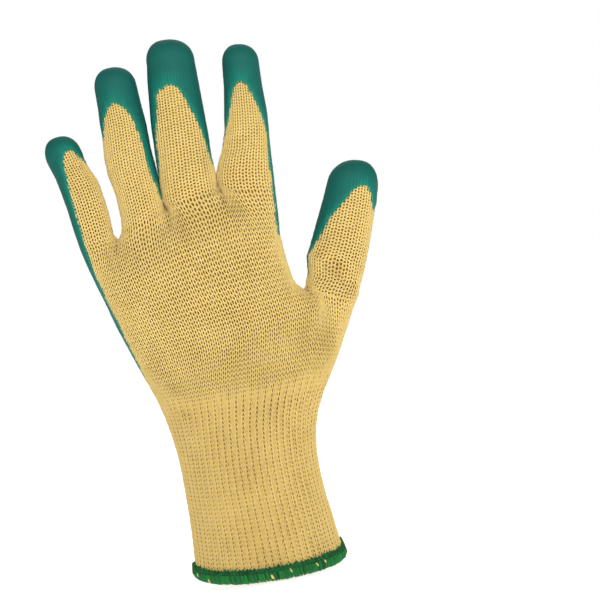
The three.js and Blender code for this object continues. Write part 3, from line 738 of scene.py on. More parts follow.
def inside_material():
    """The inside of the knit: rows of purl bumps, from the piece's own columns and rows, with painted
    shade in the hollows between them.
    """
    material, g = new_material("knit_inside")
    s = settings()
    across, along = (g.math("SINE", g.math("MULTIPLY", g.attribute(name), 2 * math.pi))
                     for name in ("wale", "course"))
    height = g.math("MULTIPLY_ADD", g.math("MULTIPLY", across, along), 0.5, 0.5)
    g.surface({
        # Painted shade in the hollows between the purl bumps
        "Base Color": g.mix(height, s.cotton_recess_shade, s.cotton),
        "Roughness": 0.95,
        "Normal": g.bump(height, 0.8, 0.0006),
    })
    return material


def coat_material():
    """Nitrile: deep green, satin on the fingertips, grained and duller on the palm, with painted shade in
    the palm's creases.
    """
    material, g = new_material("nitrile")
    s = settings()
    cover, palm = g.attribute("cover"), g.attribute("palm")
    green = g.mix(g.noise(90, 3), s.coat, s.coat_light)
    # By the bare knit the coating is thin: it pales, and shows the legs of the stitches under it
    legs = g.math("SINE", g.math("MULTIPLY", g.attribute("wale"), 4 * math.pi))
    streaks = g.map_range(legs, -0.6, 0.9, 0.25, 1.0)
    near = g.map_range(cover, 0.0, RIB_SHOW_REACH, 0.95, 0.0)
    edge = g.math("MULTIPLY", g.math("MULTIPLY", near, streaks), g.attribute("head"))
    edge = g.math("MAXIMUM", edge, g.map_range(cover, 0.3, 2.6, 0.5, 0.0))
    # The palm's grain: fine cells with creases between them, painted dark as shade, and random dark flecks
    warp = g.noise(500, 2).node.outputs[1]
    moved = g.node("ShaderNodeVectorMath", {0: warp, 1: (0.0012,) * 3, 2: g.place()},
                   operation="MULTIPLY_ADD")
    cells = g.node("ShaderNodeTexVoronoi", {"Vector": moved.outputs[0], "Scale": 1600},
                   feature="DISTANCE_TO_EDGE")
    creases = g.map_range(cells.outputs["Distance"], 0, 0.16, 0, 1, "LINEAR")
    flecks = g.map_range(g.noise(3000, 1, 0.6), 0.38, 0.62, -0.35, 0.95, "LINEAR")
    grain = g.math("MULTIPLY_ADD", creases, 0.4, flecks)
    # Painted shade: the palm turns darker in the deeper creases of its crinkle
    palm_crease_shaded = g.mix(g.math("MULTIPLY", g.attribute("crease_shade"), 0.75, clamp=True), s.coat_palm, s.coat_flecks_and_crease_shade)
    fine = g.math("MULTIPLY", g.noise(1100, 2), 0.12)
    height = g.math("ADD", g.math("MULTIPLY", grain, palm), fine)
    g.surface({
        "Base Color": g.mix(palm, g.mix(edge, green, s.coat_edge), g.mix(grain, s.coat_flecks_and_crease_shade, palm_crease_shaded)),
        "Roughness": g.math("MULTIPLY_ADD", palm, 0.16, 0.6),
        "Specular IOR Level": 0.12,
        "Normal": g.bump(height, 0.55, 0.0004),
    })
    return material


def thread_material():
    """Overlock thread: dense green with a soft gloss along the strands."""
    material, g = new_material("overlock_thread")
    s = settings()
    g.surface({
        "Base Color": g.mix(g.attribute("tint"), s.hem_dark_and_gap_shade, s.hem),
        "Roughness": 0.7,
        "Specular IOR Level": 0.2,
        "Normal": g.bump(g.noise(2400, 2), 0.4, 0.0002),
    })
    return material


def stage_material():
    """The floor: near white, barely mottled, and bright enough to melt into the backdrop."""
    material, g = new_material("pale_floor")
    g.surface({
        "Base Color": g.mix(g.math("MULTIPLY", g.noise(3, 2), 0.03), settings().floor, (0.8, 0.8, 0.8)),
        "Roughness": 0.9,
        "Emission Color": (1, 1, 1),
        "Emission Strength": 0.85,
    })
    return material


# Yarn and thread from paths, by Geometry Nodes

def yarn_tree():
    """Sweeps a round yarn along every strand of an edge mesh, thinner where yarn_scale says so."""
    tree = bpy.data.node_groups.new("Yarn Along Paths", "GeometryNodeTree")
    for name, kind, default in (("Geometry", "Geometry", None), ("Yarn Radius", "Float", 0.00045),
                                ("Sides", "Int", 5), ("Unevenness", "Float", 0.1), ("Seed", "Int", 7),
                                ("Material", "Material", None)):
        socket = tree.interface.new_socket(name, in_out="INPUT", socket_type="NodeSocket" + kind)
        if default is not None:
            socket.default_value = default
    tree.interface.new_socket("Geometry", in_out="OUTPUT", socket_type="NodeSocketGeometry")
    g = Graph(tree)
    given = g.node("NodeGroupInput").outputs
    uneven = g.node("FunctionNodeRandomValue", {
        2: g.math("SUBTRACT", 1, given["Unevenness"]),
        3: g.math("ADD", 1, given["Unevenness"]),
        "Seed": given["Seed"],
    }, data_type="FLOAT")
    named = g.node("GeometryNodeInputNamedAttribute", {"Name": "yarn_scale"}, data_type="FLOAT")
    scale = g.math("MULTIPLY", named.outputs["Attribute"], uneven.outputs[1])
    curve = g.node("GeometryNodeMeshToCurve", {0: given["Geometry"]})
    curve = g.node("GeometryNodeSetCurveRadius", {"Curve": curve.outputs[0], "Radius": scale})
    circle = g.node("GeometryNodeCurvePrimitiveCircle", {
        "Radius": given["Yarn Radius"], "Resolution": given["Sides"]}, mode="RADIUS")
    yarn = g.node("GeometryNodeCurveToMesh", {
        "Curve": curve.outputs[0], "Profile Curve": circle.outputs[0], "Scale": scale, "Fill Caps": True})
    yarn = g.node("GeometryNodeSetShadeSmooth", {0: yarn.outputs[0]})
    yarn = g.node("GeometryNodeSetMaterial", {"Geometry": yarn.outputs[0], "Material": given["Material"]})
    g.node("NodeGroupOutput", {0: yarn.outputs[0]})
    return tree


def sweep_yarn(name, slot, paths, attributes, radius, material, sides=6, unevenness=0.1, seed=3):
    """Turns strands, an array of strands by points by xyz in millimetres, into one piece of yarn."""
    strands, per_strand, _ = paths.shape
    start = (np.arange(strands)[:, None] * per_strand + np.arange(per_strand - 1)).ravel()
    mesh = bpy.data.meshes.new(name + "_paths")
    mesh.from_pydata((paths.reshape(-1, 3) * MM).tolist(), np.stack((start, start + 1), 1).tolist(), [])
    add_attributes(mesh, {key: np.broadcast_to(values, (strands, per_strand))
                          for key, values in attributes.items()})
    source = link_object(name + "_paths", mesh)
    modifier = source.modifiers.new("yarn", "NODES")
    modifier.node_group = shared(yarn_tree)
    values = {"Yarn Radius": radius * MM, "Sides": sides, "Unevenness": unevenness, "Seed": seed,
              "Material": material}
    for item in modifier.node_group.interface.items_tree:
        if item.name in values:
            modifier[item.identifier] = values[item.name]
    graph = bpy.context.evaluated_depsgraph_get()
    result = bpy.data.meshes.new_from_object(source.evaluated_get(graph))
    bpy.data.objects.remove(source)
    bpy.data.meshes.remove(mesh)
    result.name = name
    settle(link_object(name, result), slot)


# One stitch, in shares of its cell across and along, and millimetres above the ground: two legs
# that run downwards from a head that is tucked under the row above. In the rib the legs part wider
STITCH = np.array((
    (-0.50, -0.84, 0.12),
    (-0.19, -0.40, 0.52),
    (-0.31, 0.16, 0.52),
    (0.0, 0.60, 0.12),
    (0.31, 0.16, 0.52),
    (0.19, -0.40, 0.52),
    (0.50, -0.84, 0.12),
))
RIB_STITCH = np.array((
    (-0.46, -0.66, 0.05),
    (-0.31, -0.16, 0.62),
    (-0.15, 0.36, 0.50),
    (0.0, 0.60, 0.10),
    (0.15, 0.36, 0.50),
    (0.31, -0.16, 0.62),
    (0.46, -0.66, 0.05),
))
STITCH_RADIUS = 0.40
STITCH_JITTER = 0.035
STITCH_TINT = (0.6, 0.22)
STITCH_UNEVEN = 0.08
STITCH_SEED = 11
STITCH_YARN_SEED = 7
# The knit is tighter in some patches than in others
TENSION_SIZE = 13
TENSION_CHANGE = 0.16
# Heights between which the plain knit turns into rib, where every second wale is sunk
RIB_START = 88
RIB_FULL = 74
RIB_SINK = 0.5
RIB_RAISE = 0.05
RIB_SHIFT = 0.5
RIB_SPREAD = 0.36
# Share of painted shade on the yarn of a sunk wale
RIB_SHADE = 0.3
RIB_FILL = 0.26
RIB_THIN = 0.03
# Widths of a stitch and how thick its yarn is there
KNIT_YARN = ((1.4, 1.8, 2.2, 2.7, 3.15), (0.58, 0.67, 0.88, 1.06, 1.14))
RIB_YARN = ((1.3, 2.6), (0.77, 0.98))
# How far the dip soaks the stitches past its edge, and how far stitches go on under it
SOAK_REACH = 0.1
SOAK_FADE = 0.5
SOAK_UNEVEN = 0.22
STITCH_REACH = 2.6


def stitch_paths(skin, chosen):
    """Strands of the chosen cells' stitches, and what colours and thins them."""
    zone, face, _, column = skin.info[chosen].T
    back = face == 1
    order = np.where(back[:, None], (0, 1, 2, 3), (3, 2, 1, 0))
    ring = np.take_along_axis(skin.quads[chosen], order, 1)
    p, n = skin.points[ring], skin.normals[ring]
    first = np.array([zone_columns(z)[0] for z in range(CUFF_ZONE + 1)])
    sunk = (first[zone] + column + np.where(back, 0, 1)) % 2 == 1
    rib = smooth((RIB_START - p[:, :, 2].mean(axis=1)) / (RIB_START - RIB_FULL))
    form = mix(STITCH[None], RIB_STITCH[None], rib[:, None, None])
    u = form[..., 0] * (1 + rib * np.where(sunk, -RIB_SPREAD, RIB_SPREAD))[:, None]
    v = form[..., 1] + (rib * np.where(sunk, RIB_SHIFT, 0))[:, None]
    lift = form[..., 2] - (rib * np.where(sunk, RIB_SINK, -RIB_RAISE))[:, None]
    a, b = u[..., None] + 0.5, v[..., None] + 0.5

    def blend(c):
        low = mix(c[:, None, 0], c[:, None, 1], a)
        high = mix(c[:, None, 3], c[:, None, 2], a)
        return mix(low, high, b)

    count = len(chosen)
    rng = np.random.default_rng(STITCH_SEED)
    jitter = rng.normal(0, STITCH_JITTER, (count, 1, 3))
    paths = blend(p) + unit(blend(n)) * (lift[..., None] - BASE_DEPTH) + jitter
    bare = blend(skin.bare[ring][..., None])[..., 0]
    soak = smooth(0.5 - (bare + rng.normal(0, SOAK_UNEVEN, (count, 1)) - SOAK_REACH) / SOAK_FADE)
    tint = np.clip(rng.normal(*STITCH_TINT, count), 0, 1)
    width = (np.linalg.norm(p[:, 1] - p[:, 0], axis=1) + np.linalg.norm(p[:, 2] - p[:, 3], axis=1)) / 2
    tension = np.array([noise.noise(Vector(c) / TENSION_SIZE) for c in p.mean(axis=1)])
    thin = mix(np.interp(width, *KNIT_YARN), np.interp(width, *RIB_YARN), rib)
    thin = thin + tension * TENSION_CHANGE + rib * np.where(sunk, RIB_FILL, -RIB_THIN)
    # Painted shade on the rib's sunk wales
    groove_shade = rib * np.where(sunk, RIB_SHADE, 0)
    return paths, {"yarn_scale": thin[:, None], "tint": tint[:, None], "soak": soak, "groove_shade": groove_shade[:, None]}


def settle(obj, slot, *nodes):
    """Rides the piece on the frame's root and hides the nodes that it stands for; its slot is not used."""
    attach(obj, "root")
    if nodes:
        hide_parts(*nodes)


SHARED = {}


def stitch_skin():
    return make_skin(1, FINGER_STITCH, PALM_STITCH_ROWS, HEEL_STITCH_ROWS, CUFF_STITCH_ROWS)


def shared(make):
    """What several pieces use, such as the skin, a material or the node tree, made once."""
    if make not in SHARED:
        SHARED[make] = make()
    return SHARED[make]


# Settings and operators

def colour(name, description, default):
    return FloatVectorProperty(
        name=name, description=description, subtype="COLOR", size=3, default=default, min=0, max=1)


class GloveSettings(bpy.types.PropertyGroup):
    """Sizes and colours of the glove."""
    cotton: colour("Cotton", "Colour of the yarn in the light", (0.695, 0.508, 0.15))
    cotton_light: colour("Cotton Light", "Paler patches of the yarn", (0.78, 0.598, 0.262))
    cotton_shade: colour("Cotton Shade", "Darker stitches of the yarn", (0.61, 0.422, 0.100))
    # Painted shade: the darker yarn of the rib's sunk wales and of the hollows between the purl bumps
    # inside
    cotton_recess_shade: colour("Cotton Grooves", "Yarn in the grooves of the rib", (0.50, 0.29, 0.07))
    # Painted shade: the dark brown that shows in the holes between the stitches
    ground_shade: colour("Ground", "Knit that shows between the stitches", (0.26, 0.124, 0.018))
    coat: colour("Coating", "Nitrile on the fingertips", (0.005, 0.088, 0.070))
    coat_light: colour("Coating Light", "Paler patches of the nitrile", (0.008, 0.112, 0.090))
    coat_edge: colour("Coating Edge", "Thin nitrile by the bare knit", (0.003, 0.20, 0.135))
    coat_palm: colour("Coating Palm", "Nitrile on the palm", (0.022, 0.138, 0.120))
    # Painted shade in the palm's creases, and the colour of its random dark flecks
    coat_flecks_and_crease_shade: colour("Coating Creases", "Nitrile in the creases", (0.008, 0.035, 0.037))
    hem: colour("Hem", "Overlock thread", (0.013, 0.178, 0.036))
    # Also the colour of the band under the threads: painted shade in the gaps between the turns
    hem_dark_and_gap_shade: colour("Hem Dark", "Darker strands of the overlock", (0.004, 0.046, 0.017))
    floor: colour("Floor", "Colour of the floor and backdrop", (0.92, 0.92, 0.92))
    yarn_radius: FloatProperty(
        name="Yarn Radius", description="Radius of the knitting yarn", unit="LENGTH",
        default=STITCH_RADIUS * MM, min=0.0001, max=0.001, precision=5)
    yarn_sides: IntProperty(
        name="Yarn Sides", description="Sides of the yarn's section", default=5, min=3, max=12)
    wrap_count: IntProperty(
        name="Hem Turns", description="Turns of thread round the hem", default=230, min=40, max=600)
    speck_count: IntProperty(
        name="Hem Specks", description="Places where cotton shows through the hem",
        default=16, min=0, max=60)
    crinkle: FloatProperty(
        name="Crinkle", description="Depth of the palm's creases", unit="LENGTH",
        default=0.0003, min=0, max=0.001, precision=5)


def settings():
    return bpy.context.scene.glove_settings


def cell_selection(skin, zones, back=None):
    """Cells of some zones that show as knit, with a little more under the coating's edge."""
    chosen = np.isin(skin.info[:, 0], list(zones))
    if back is not None:
        chosen &= skin.info[:, 1] == int(back)
    chosen &= skin.bare[skin.quads].max(axis=1) > -STITCH_REACH
    return np.flatnonzero(chosen & (skin.quads[:, 2] != skin.quads[:, 3]))


def yarn_piece(name, slot, zones, back=None):
    """One piece of knit: the stitches of some zones, on one face or on both."""
    skin, s = shared(stitch_skin), settings()
    paths, attributes = stitch_paths(skin, cell_selection(skin, zones, back))
    sweep_yarn(name, slot, paths, attributes, s.yarn_radius / MM, shared(yarn_material),
               s.yarn_sides, STITCH_UNEVEN, STITCH_YARN_SEED)


class GLOVE_OT_knit_base(bpy.types.Operator):
    """Makes the ground of the knitted hand and of the cuff, under the stitches"""
    bl_idname = "glove.knit_base"
    bl_label = "Knit Ground"

    def execute(self, context):
        skin = shared(stitch_skin)
        materials = base_material(), inside_material()
        for name, slot, zones, cad_node in (
                ("knit_ground_hand", "cotton_knit", range(CUFF_ZONE), "knit_liner"),
                ("knit_ground_cuff", "rib_knit", (CUFF_ZONE,), "rib_cuff")):
            faces = clean_faces(skin.quads[np.isin(skin.info[:, 0], list(zones))].tolist())
            points, faces, normals, columns, rows = compact(
                skin.points, faces, skin.normals, *column_and_row(skin))
            all_points, all_faces = thick_layer(
                faces, faces, points - normals * BASE_DEPTH, points - normals * INSIDE_DEPTH)
            obj = new_object(name, all_points, all_faces, materials)
            is_inside = np.arange(len(all_faces)) >= len(faces)
            obj.data.polygons.foreach_set("material_index", is_inside.astype(int))
            add_attributes(obj.data, {"wale": np.tile(columns, 2), "course": np.tile(rows, 2)})
            settle(obj, slot, cad_node)
        return {"FINISHED"}


def column_and_row(skin):
    """Wale and row of each of the skin's points."""
    columns, rows = np.zeros((2, len(skin.points)))
    for (zone, _), grid in skin.ids.items():
        r, c = np.indices(grid.shape)
        columns[grid] = zone_columns(zone)[0] + c / skin.per_wale
        rows[grid] = r
    return columns, rows


class GLOVE_OT_hand_stitches(bpy.types.Operator):
    """Knits the bare back of the hand and of the digits, stitch by stitch"""
    bl_idname = "glove.hand_stitches"
    bl_label = "Hand Stitches"

    def execute(self, context):
        yarn_piece("stitches_back", "cotton_knit", (PALM_ZONE, HEEL_ZONE), True)
        yarn_piece("stitches_wrist_front", "cotton_knit", (PALM_ZONE, HEEL_ZONE), False)
        yarn_piece("stitches_digits", "cotton_knit", range(len(DIGITS)))
        return {"FINISHED"}


class GLOVE_OT_cuff_stitches(bpy.types.Operator):
    """Knits the rib of the cuff, where every second wale is sunk"""
    bl_idname = "glove.cuff_stitches"
    bl_label = "Cuff Stitches"

    def execute(self, context):
        yarn_piece("rib_stitches_back", "rib_knit", (CUFF_ZONE,), True)
        yarn_piece("rib_stitches_front", "rib_knit", (CUFF_ZONE,), False)
        return {"FINISHED"}


# The coating's grid is finer than the stitches': so many cells to a stitch, across and along
COAT_ACROSS = 4
COAT_ALONG_FINGER = 2
COAT_ALONG_HAND = 3
# The coating sinks towards its edge, and the wales show through it there
COAT_EDGE_DEPTH = 0.62
COAT_EDGE_REACH = 2.2
RIB_SHOW_DEPTH = 0.09
RIB_SHOW_REACH = 9
# How far a normal turns towards the palm while the coating turns from satin to grained
PALM_TURN = 0.5
LEAST_PALM = 0.02
# Creases of the palm: how dense, offset of the noise, level from which it counts, depth
CREASES = ((0.42, (0, 0, 0), 0.78, 0.75), (0.9, (31, 7, 5), 0.7, 0.55))
CREASE_BEND_SCALE = 0.25
CREASE_BEND = 1.6
CREASE_SEED = 3


def clip_coat(skin):
    """Faces of the skin under the coating, cut along its edge. New points join the skin's."""
    sign = np.where(skin.bare < 0, -1, 1)
    bare = sign * np.maximum(np.abs(skin.bare), CLIP_CLEARANCE)
    in_hand = skin.info[:, 0] != CUFF_ZONE
    values = bare[skin.quads]
    full = in_hand & (values < 0).all(axis=1)
    part = in_hand & (values < 0).any(axis=1) & ~full
    extra, made, clipped = [], {}, []

    def cut(a, b):
        low, high = min(a, b), max(a, b)
        if (low, high) not in made:
            made[low, high] = len(skin.points) + len(extra)
            extra.append((low, high, bare[low] / (bare[low] - bare[high])))
        return made[low, high]

    for i in np.flatnonzero(part):
        a, b, c, d = skin.quads[i].tolist()
        for corners in ((a, b, c), (a, c, d)):
            if len(set(corners)) < 3:
                continue
            ring = []
            for p, q in zip(corners, corners[1:] + corners[:1]):
                if bare[p] < 0:
                    ring.append(p)
                if (bare[p] < 0) != (bare[q] < 0):
                    ring.append(cut(p, q))
            if len(ring) > 2:
                clipped.append(ring)
    low, high, k = (np.array(part) for part in zip(*extra))

    def extend(values):
        share = k.reshape((-1,) + (1,) * (values.ndim - 1))
        return np.concatenate((values, mix(values[low], values[high], share)))

    coat = SimpleNamespace(
        points=extend(skin.points), normals=unit(extend(skin.normals)), head=extend(skin.head),
        bare=np.concatenate((skin.bare, np.zeros(len(extra)))), columns=extend(column_and_row(skin)[0]))
    return coat, full, clipped


def inner_faces(skin, full, clipped, along):
    """Wide faces for the coating's underside, and fine ones only by its edge."""
    across = skin.per_wale
    zone, face, row, column = skin.info.T
    step = np.where(zone < len(DIGITS), along[0], along[1])
    cell = np.stack((zone, face, row // step, column // across), axis=1)
    keys, inverse = np.unique(cell, axis=0, return_inverse=True)
    inverse = inverse.reshape(-1)
    whole = np.bincount(inverse, weights=full.astype(float)) == np.bincount(inverse)
    fine = clipped + clean_faces(skin.quads[full & ~whole[inverse]].tolist())
    used = {v for ring in fine for v in ring}
    wide = []
    for (z, f, r, c) in keys[whole]:
        grid = skin.ids[z, bool(f)]
        step = along[0] if z < len(DIGITS) else along[1]
        r0, c0 = r * step, c * across
        r1, c1 = min(r0 + step, grid.shape[0] - 1), c0 + across
        ring = []
        for side in (grid[r0, c0:c1 + 1], grid[r0:r1 + 1, c1],
                     grid[r1, c0:c1 + 1][::-1], grid[r0:r1 + 1, c0][::-1]):
            ring += [v for i, v in enumerate(side[:-1].tolist()) if i == 0 or v in used]
        wide.append(ring[::-1] if (z < len(DIGITS)) != bool(f) else ring)
    return clean_faces(wide) + fine


def crinkle_height(points, palm):
    """Creases of the palm side as a height, from about -1 in a crease to 0 on the flats."""
    height = np.zeros(len(points))
    noise.seed_set(CREASE_SEED)
    for i in np.flatnonzero(palm > LEAST_PALM):
        place = Vector(points[i])
        place += noise.noise_vector(place * CREASE_BEND_SCALE) * CREASE_BEND
        for scale, offset, level, depth in CREASES:
            ridge = 1 - abs(noise.noise(place * scale + Vector(offset)))
            height[i] -= max(0.0, ridge - level) / (1 - level) * depth
    return height


class GLOVE_OT_coating(bpy.types.Operator):
    """Dips the palm, the digits' sides and the fingertips in nitrile"""
    bl_idname = "glove.coating"
    bl_label = "Nitrile Coating"

    def execute(self, context):
        skin = make_skin(COAT_ACROSS, FINGER_STITCH / COAT_ALONG_FINGER,
                         PALM_STITCH_ROWS * COAT_ALONG_HAND, HEEL_STITCH_ROWS * COAT_ALONG_HAND, 1)
        coat, full, clipped = clip_coat(skin)
        outer_faces = clean_faces(skin.quads[full].tolist()) + clipped
        under_faces = inner_faces(skin, full, clipped, (COAT_ALONG_FINGER, COAT_ALONG_HAND))
        points, joined, normals, head, bare, columns = compact(
            coat.points, outer_faces + under_faces, coat.normals, coat.head, coat.bare, coat.columns)
        outer_faces, under_faces = joined[:len(outer_faces)], joined[len(outer_faces):]
        cover = -bare
        palm = smooth(normals[:, 1] / PALM_TURN + 0.5)
        crinkle = crinkle_height(points, palm)
        rib = np.cos(2 * math.pi * columns) * (1 - palm) * np.clip(1 - cover / RIB_SHOW_REACH, 0, 1)
        depth = COAT_EDGE_DEPTH * (1 - smooth(cover / COAT_EDGE_REACH))
        lift = crinkle * palm * settings().crinkle / MM - RIB_SHOW_DEPTH * (1 + rib) - depth
        all_points, all_faces = thick_layer(
            outer_faces, under_faces, points + normals * lift[:, None], points - normals * COAT_UNDER)
        obj = new_object("nitrile_coating", all_points, all_faces, (coat_material(),))
        # The crinkle's depth goes to the material to paint shade into the palm's creases
        add_attributes(obj.data, {
            "cover": np.tile(cover, 2), "head": np.tile(head ** 2, 2), "wale": np.tile(columns, 2),
            "palm": np.tile(palm, 2), "crease_shade": np.tile(np.clip(-crinkle, 0, 1), 2)})
        settle(obj, "nitrile_coating", "palm_coating")
        return {"FINISHED"}


# Hem: section of the band as offset from the skin and height above the cuff's edge
BAND_SECTION = (
    (-0.9, 4.9), (-0.5, 5.1), (-0.05, 4.7), (0.15, 3.4), (0.15, 1.7), (-0.2, 0.5), (-1.0, -0.2),
    (-2.2, -0.4), (-3.3, -0.1), (-4.0, 0.6), (-4.2, 2.2), (-4.1, 4.2), (-3.7, 5.1), (-3.2, 4.9),
    (-3.2, 0.5), (-0.9, 0.5),
)
# Threads of the hem, as offset from the skin, height above the cuff's edge and way along the hem:
# a turn round the roll, a loop that bites into the knit, a link of the chains over it, a speck of
# cotton that shows between the threads and a loose end
TURN = ((-4.1, 4.9, 0.9), (-4.5, 2.7, 0.6), (-4.1, 0.4, 0.3), (-2.2, -0.55, 0.0), (-0.2, 0.15, -0.15),
        (0.4, 1.5, -0.3), (0.4, 2.8, -0.45), (0.1, 4.0, -0.6), (-0.3, 4.6, -0.7))
BITE = ((0.15, 3.2, -0.8), (0.3, 4.5, -0.6), (0.1, 5.2, -0.28), (-0.7, 5.7, 0.0),
        (0.1, 5.2, 0.28), (0.3, 4.5, 0.6), (0.15, 3.2, 0.8))
LINK = ((0.3, 0.0, -1.0), (0.62, 0.12, -0.5), (0.7, 0.25, 0.0), (0.62, 0.38, 0.5), (0.3, 0.5, 1.0))
SPECK = ((0.3, -0.8, 0.3), (0.74, -0.4, 0.18), (0.78, 0.1, 0.0), (0.74, 0.5, -0.14), (0.3, 0.9, -0.25))
TAIL = ((0.2, 3.0, 0.0), (0.35, 5.0, 0.2), (0.1, 6.4, 0.2), (-0.1, 7.6, 0.0), (-0.3, 8.2, -0.2))
# Radius of each kind of thread, unevenness of its place, and mean and spread of its tint
TURN_LOOK = (0.44, 0.1, 0.66, 0.24)
BITE_LOOK = (0.42, 0.07, 0.55, 0.2)
LINK_LOOK = (0.3, 0.07, 0.2, 0.16)
FINE_RADIUS = 0.3
PITCH_SPREAD = 0.1
BITE_PITCH = 1.8
BITE_HEIGHT_SPREAD = 0.22
LINK_PITCH = 1.5
LINK_HEIGHTS = (3.35, 4.55)
SPECK_HEIGHTS = (0.7, 3.8)
SPECK_JITTER = 0.05
SPECK_TINT = 0.8
TAIL_PLACES = 0.5 + np.linspace(-0.004, 0.004, 4)
TAIL_JITTER = 0.2
TAIL_TINT = 0.6
HEM_SEED = 5


def place_threads(hem, share, path, jitter, rng, lift=0.0):
    """Copies a thread's path to shares of the way round the hem."""
    edge = hem[0]
    length = np.concatenate(([0], np.cumsum(np.linalg.norm(np.roll(edge, -1, 0) - edge, axis=1))))
    position = np.interp(share % 1.0 * length[-1], length, np.arange(len(length))) % len(edge)
    i = np.floor(position).astype(int)
    j, part = (i + 1) % len(edge), (position - i)[:, None]
    base, normal, rise, run = (mix(a[i], a[j], part)[:, None] for a in hem)
    path = np.array(path)[None]
    height = path[..., 1:2] + np.reshape(lift, (-1, 1, 1))
    strands = base + normal * path[..., :1] + rise * height + run * path[..., 2:]
    return strands + rng.normal(0, jitter, (len(share), 1, 3))


def hem_frame():
    """Points round the cuff's open edge with their outward, upward and onward directions."""
    column = np.linspace(0, COLUMNS, COLUMNS * 3 + 1)[None, :]

    def ring(f):
        back, front = (cuff_grid(np.full((1, 1), f), column, face)[0] for face in (True, False))
        return np.concatenate((back, front[::-1][1:-1]))

    edge = ring(1.0)
    up = unit(ring(0.9) - edge)
    along = unit(np.roll(edge, -1, axis=0) - np.roll(edge, 1, axis=0))
    return edge, unit(np.cross(along, up)), up, along


class GLOVE_OT_hem(bpy.types.Operator):
    """Binds the cuff's open edge with an overlocked green hem"""
    bl_idname = "glove.hem"
    bl_label = "Overlocked Hem"

    def execute(self, context):
        s = settings()
        slot = "overlock_thread"
        material = thread_material()
        hem = edge, out, up, _ = hem_frame()
        section = np.array(BAND_SECTION)
        points = edge[:, None] + out[:, None] * section[None, :, :1] + up[:, None] * section[None, :, 1:]
        ids = np.arange(points.shape[0] * points.shape[1]).reshape(points.shape[:2])
        onward, beside = np.roll(ids, -1, axis=0), np.roll(ids, -1, axis=1)
        faces = np.stack((ids, beside, np.roll(onward, -1, axis=1), onward), axis=-1)
        band = new_object("hem_band", points.reshape(-1, 3), faces.reshape(-1, 4).tolist(), (material,))
        # The band under the threads takes the darkest thread colour: painted shade in the gaps between the
        # turns
        add_attributes(band.data, {"tint": np.zeros(ids.size)})
        settle(band, slot, "hem_binding")
        around = np.linalg.norm(np.roll(edge, -1, 0) - edge, axis=1).sum()
        rng = np.random.default_rng(HEM_SEED)

        def threads(name, count, path, look, lift=0.0):
            radius, jitter, shade, spread = look
            share = (np.arange(count) + rng.normal(0, PITCH_SPREAD, count)) / count
            strands = place_threads(hem, share, path, jitter, rng, lift)
            tint = np.clip(rng.normal(shade, spread, (count, 1)), 0, 1)
            sweep_yarn(name, slot, strands, {"yarn_scale": 1.0, "tint": tint}, radius, material)

        threads("hem_turns", s.wrap_count, TURN, TURN_LOOK)
        bites = round(around / BITE_PITCH)
        threads("hem_bites", bites, BITE, BITE_LOOK, rng.normal(0, BITE_HEIGHT_SPREAD, bites))
        for level, height in enumerate(LINK_HEIGHTS):
            threads(f"hem_chain_{level + 1}", round(around / LINK_PITCH), LINK, LINK_LOOK, height)
        count = s.speck_count
        specks = place_threads(hem, rng.random(count), SPECK, SPECK_JITTER, rng,
                               rng.uniform(*SPECK_HEIGHTS, count))
        sweep_yarn("hem_specks", slot, specks,
                   {"yarn_scale": 1.0, "tint": SPECK_TINT, "soak": 0.0, "groove_shade": 0.0},
                   FINE_RADIUS, shared(yarn_material))
        tail = place_threads(hem, TAIL_PLACES, TAIL, TAIL_JITTER, rng)
        sweep_yarn("hem_thread_tail", slot, tail, {"yarn_scale": 1.0, "tint": TAIL_TINT},
                   FINE_RADIUS, material)
        return {"FINISHED"}


# Stage: the floor lies just under the hem
FLOOR_HEIGHT = -3.4
FLOOR_RADIUS = 6000
FLOOR_SIDES = 96
PHOTO_TILT = 10.0
CAMERA_PLACE = (0.0361, -1.0, 0.1185)
VIEW_WIDTH = 0.2722
AMBIENT = 0.36
LIGHTS = (  # name, place, size, power
    ("key_light", (0.1, -0.95, 0.75), 0.5, 7.7),
    ("fill_light", (0.8, -0.8, 0.35), 0.9, 1.4),
    ("back_light", (0.1, 0.9, 0.8), 0.9, 3),
)
LIGHT_TARGET = (0, 0, 0.12)
SENSOR = 36.0


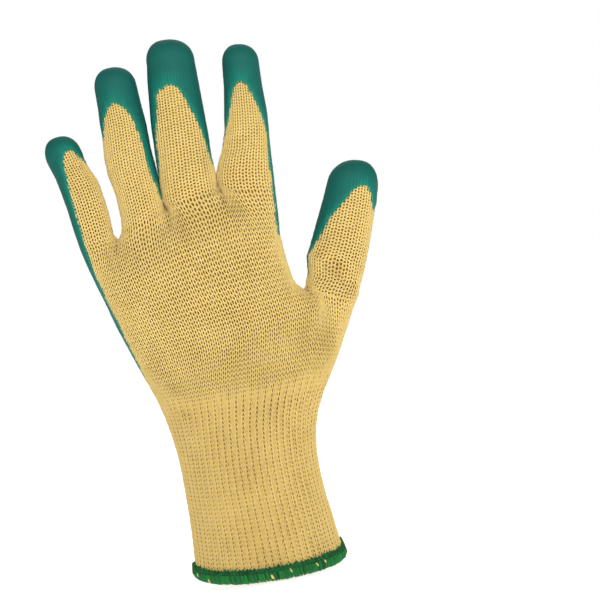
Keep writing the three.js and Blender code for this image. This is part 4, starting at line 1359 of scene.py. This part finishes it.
class GLOVE_OT_stage(bpy.types.Operator):
    """Sets up the floor, the backdrop, the lights and the camera"""
    bl_idname = "glove.stage"
    bl_label = "Stage"

    def execute(self, context):
        scene = context.scene
        angles = np.linspace(0, 2 * math.pi, FLOOR_SIDES, endpoint=False)
        rim = np.stack((np.cos(angles), np.sin(angles), np.zeros(FLOOR_SIDES)), axis=1) * FLOOR_RADIUS
        new_object("floor", rim + (0, 0, FLOOR_HEIGHT), [list(range(FLOOR_SIDES))],
                            (stage_material(),), False)
        camera_data = bpy.data.cameras.new("camera")
        camera_data.sensor_width = SENSOR
        camera_data.lens = SENSOR * abs(CAMERA_PLACE[1]) / VIEW_WIDTH
        camera = link_object("camera", camera_data)
        camera.location = CAMERA_PLACE
        camera.rotation_euler = (math.pi / 2, math.radians(PHOTO_TILT), 0)
        scene.camera = camera
        for name, place, size, power in LIGHTS:
            light_data = bpy.data.lights.new(name, "AREA")
            light_data.energy = power
            light_data.size = size
            light = link_object(name, light_data)
            light.location = place
            aim = Vector(LIGHT_TARGET) - Vector(place)
            light.rotation_euler = aim.to_track_quat("-Z", "Y").to_euler()
        world = bpy.data.worlds.new("studio")
        world.use_nodes = True
        g = Graph(world.node_tree)
        background = world.node_tree.nodes["Background"].inputs
        g.feed(background[0], (1, 1, 1))
        seen = g.node("ShaderNodeLightPath").outputs["Is Camera Ray"]
        g.feed(background[1], g.math("MAXIMUM", seen, AMBIENT))
        scene.world = world
        scene.view_settings.view_transform = "Standard"
        return {"FINISHED"}


class GLOVE_PT_panel(bpy.types.Panel):
    """Lists the glove's pieces and settings"""
    bl_label = "Coated Work Glove"
    bl_idname = "GLOVE_PT_panel"
    bl_space_type = "VIEW_3D"
    bl_region_type = "UI"
    bl_category = "Glove"

    def draw(self, context):
        layout = self.layout
        for operator in OPERATORS:
            layout.operator(operator.bl_idname)
        for name in GloveSettings.__annotations__:
            layout.prop(context.scene.glove_settings, name)


OPERATORS = (
    GLOVE_OT_stage,
    GLOVE_OT_knit_base,
    GLOVE_OT_hand_stitches,
    GLOVE_OT_cuff_stitches,
    GLOVE_OT_coating,
    GLOVE_OT_hem,
)
CLASSES = (GloveSettings, *OPERATORS, GLOVE_PT_panel)


def register():
    for made in CLASSES:
        bpy.utils.register_class(made)
    bpy.types.Scene.glove_settings = PointerProperty(type=GloveSettings)


def unregister():
    del bpy.types.Scene.glove_settings
    for made in reversed(CLASSES):
        bpy.utils.unregister_class(made)


def main():
    register()
    bpy.ops.glove.stage()
    bpy.ops.glove.knit_base()
    bpy.ops.glove.hand_stitches()
    bpy.ops.glove.cuff_stitches()
    bpy.ops.glove.coating()
    bpy.ops.glove.hem()


if __name__ == "__main__":
    main()
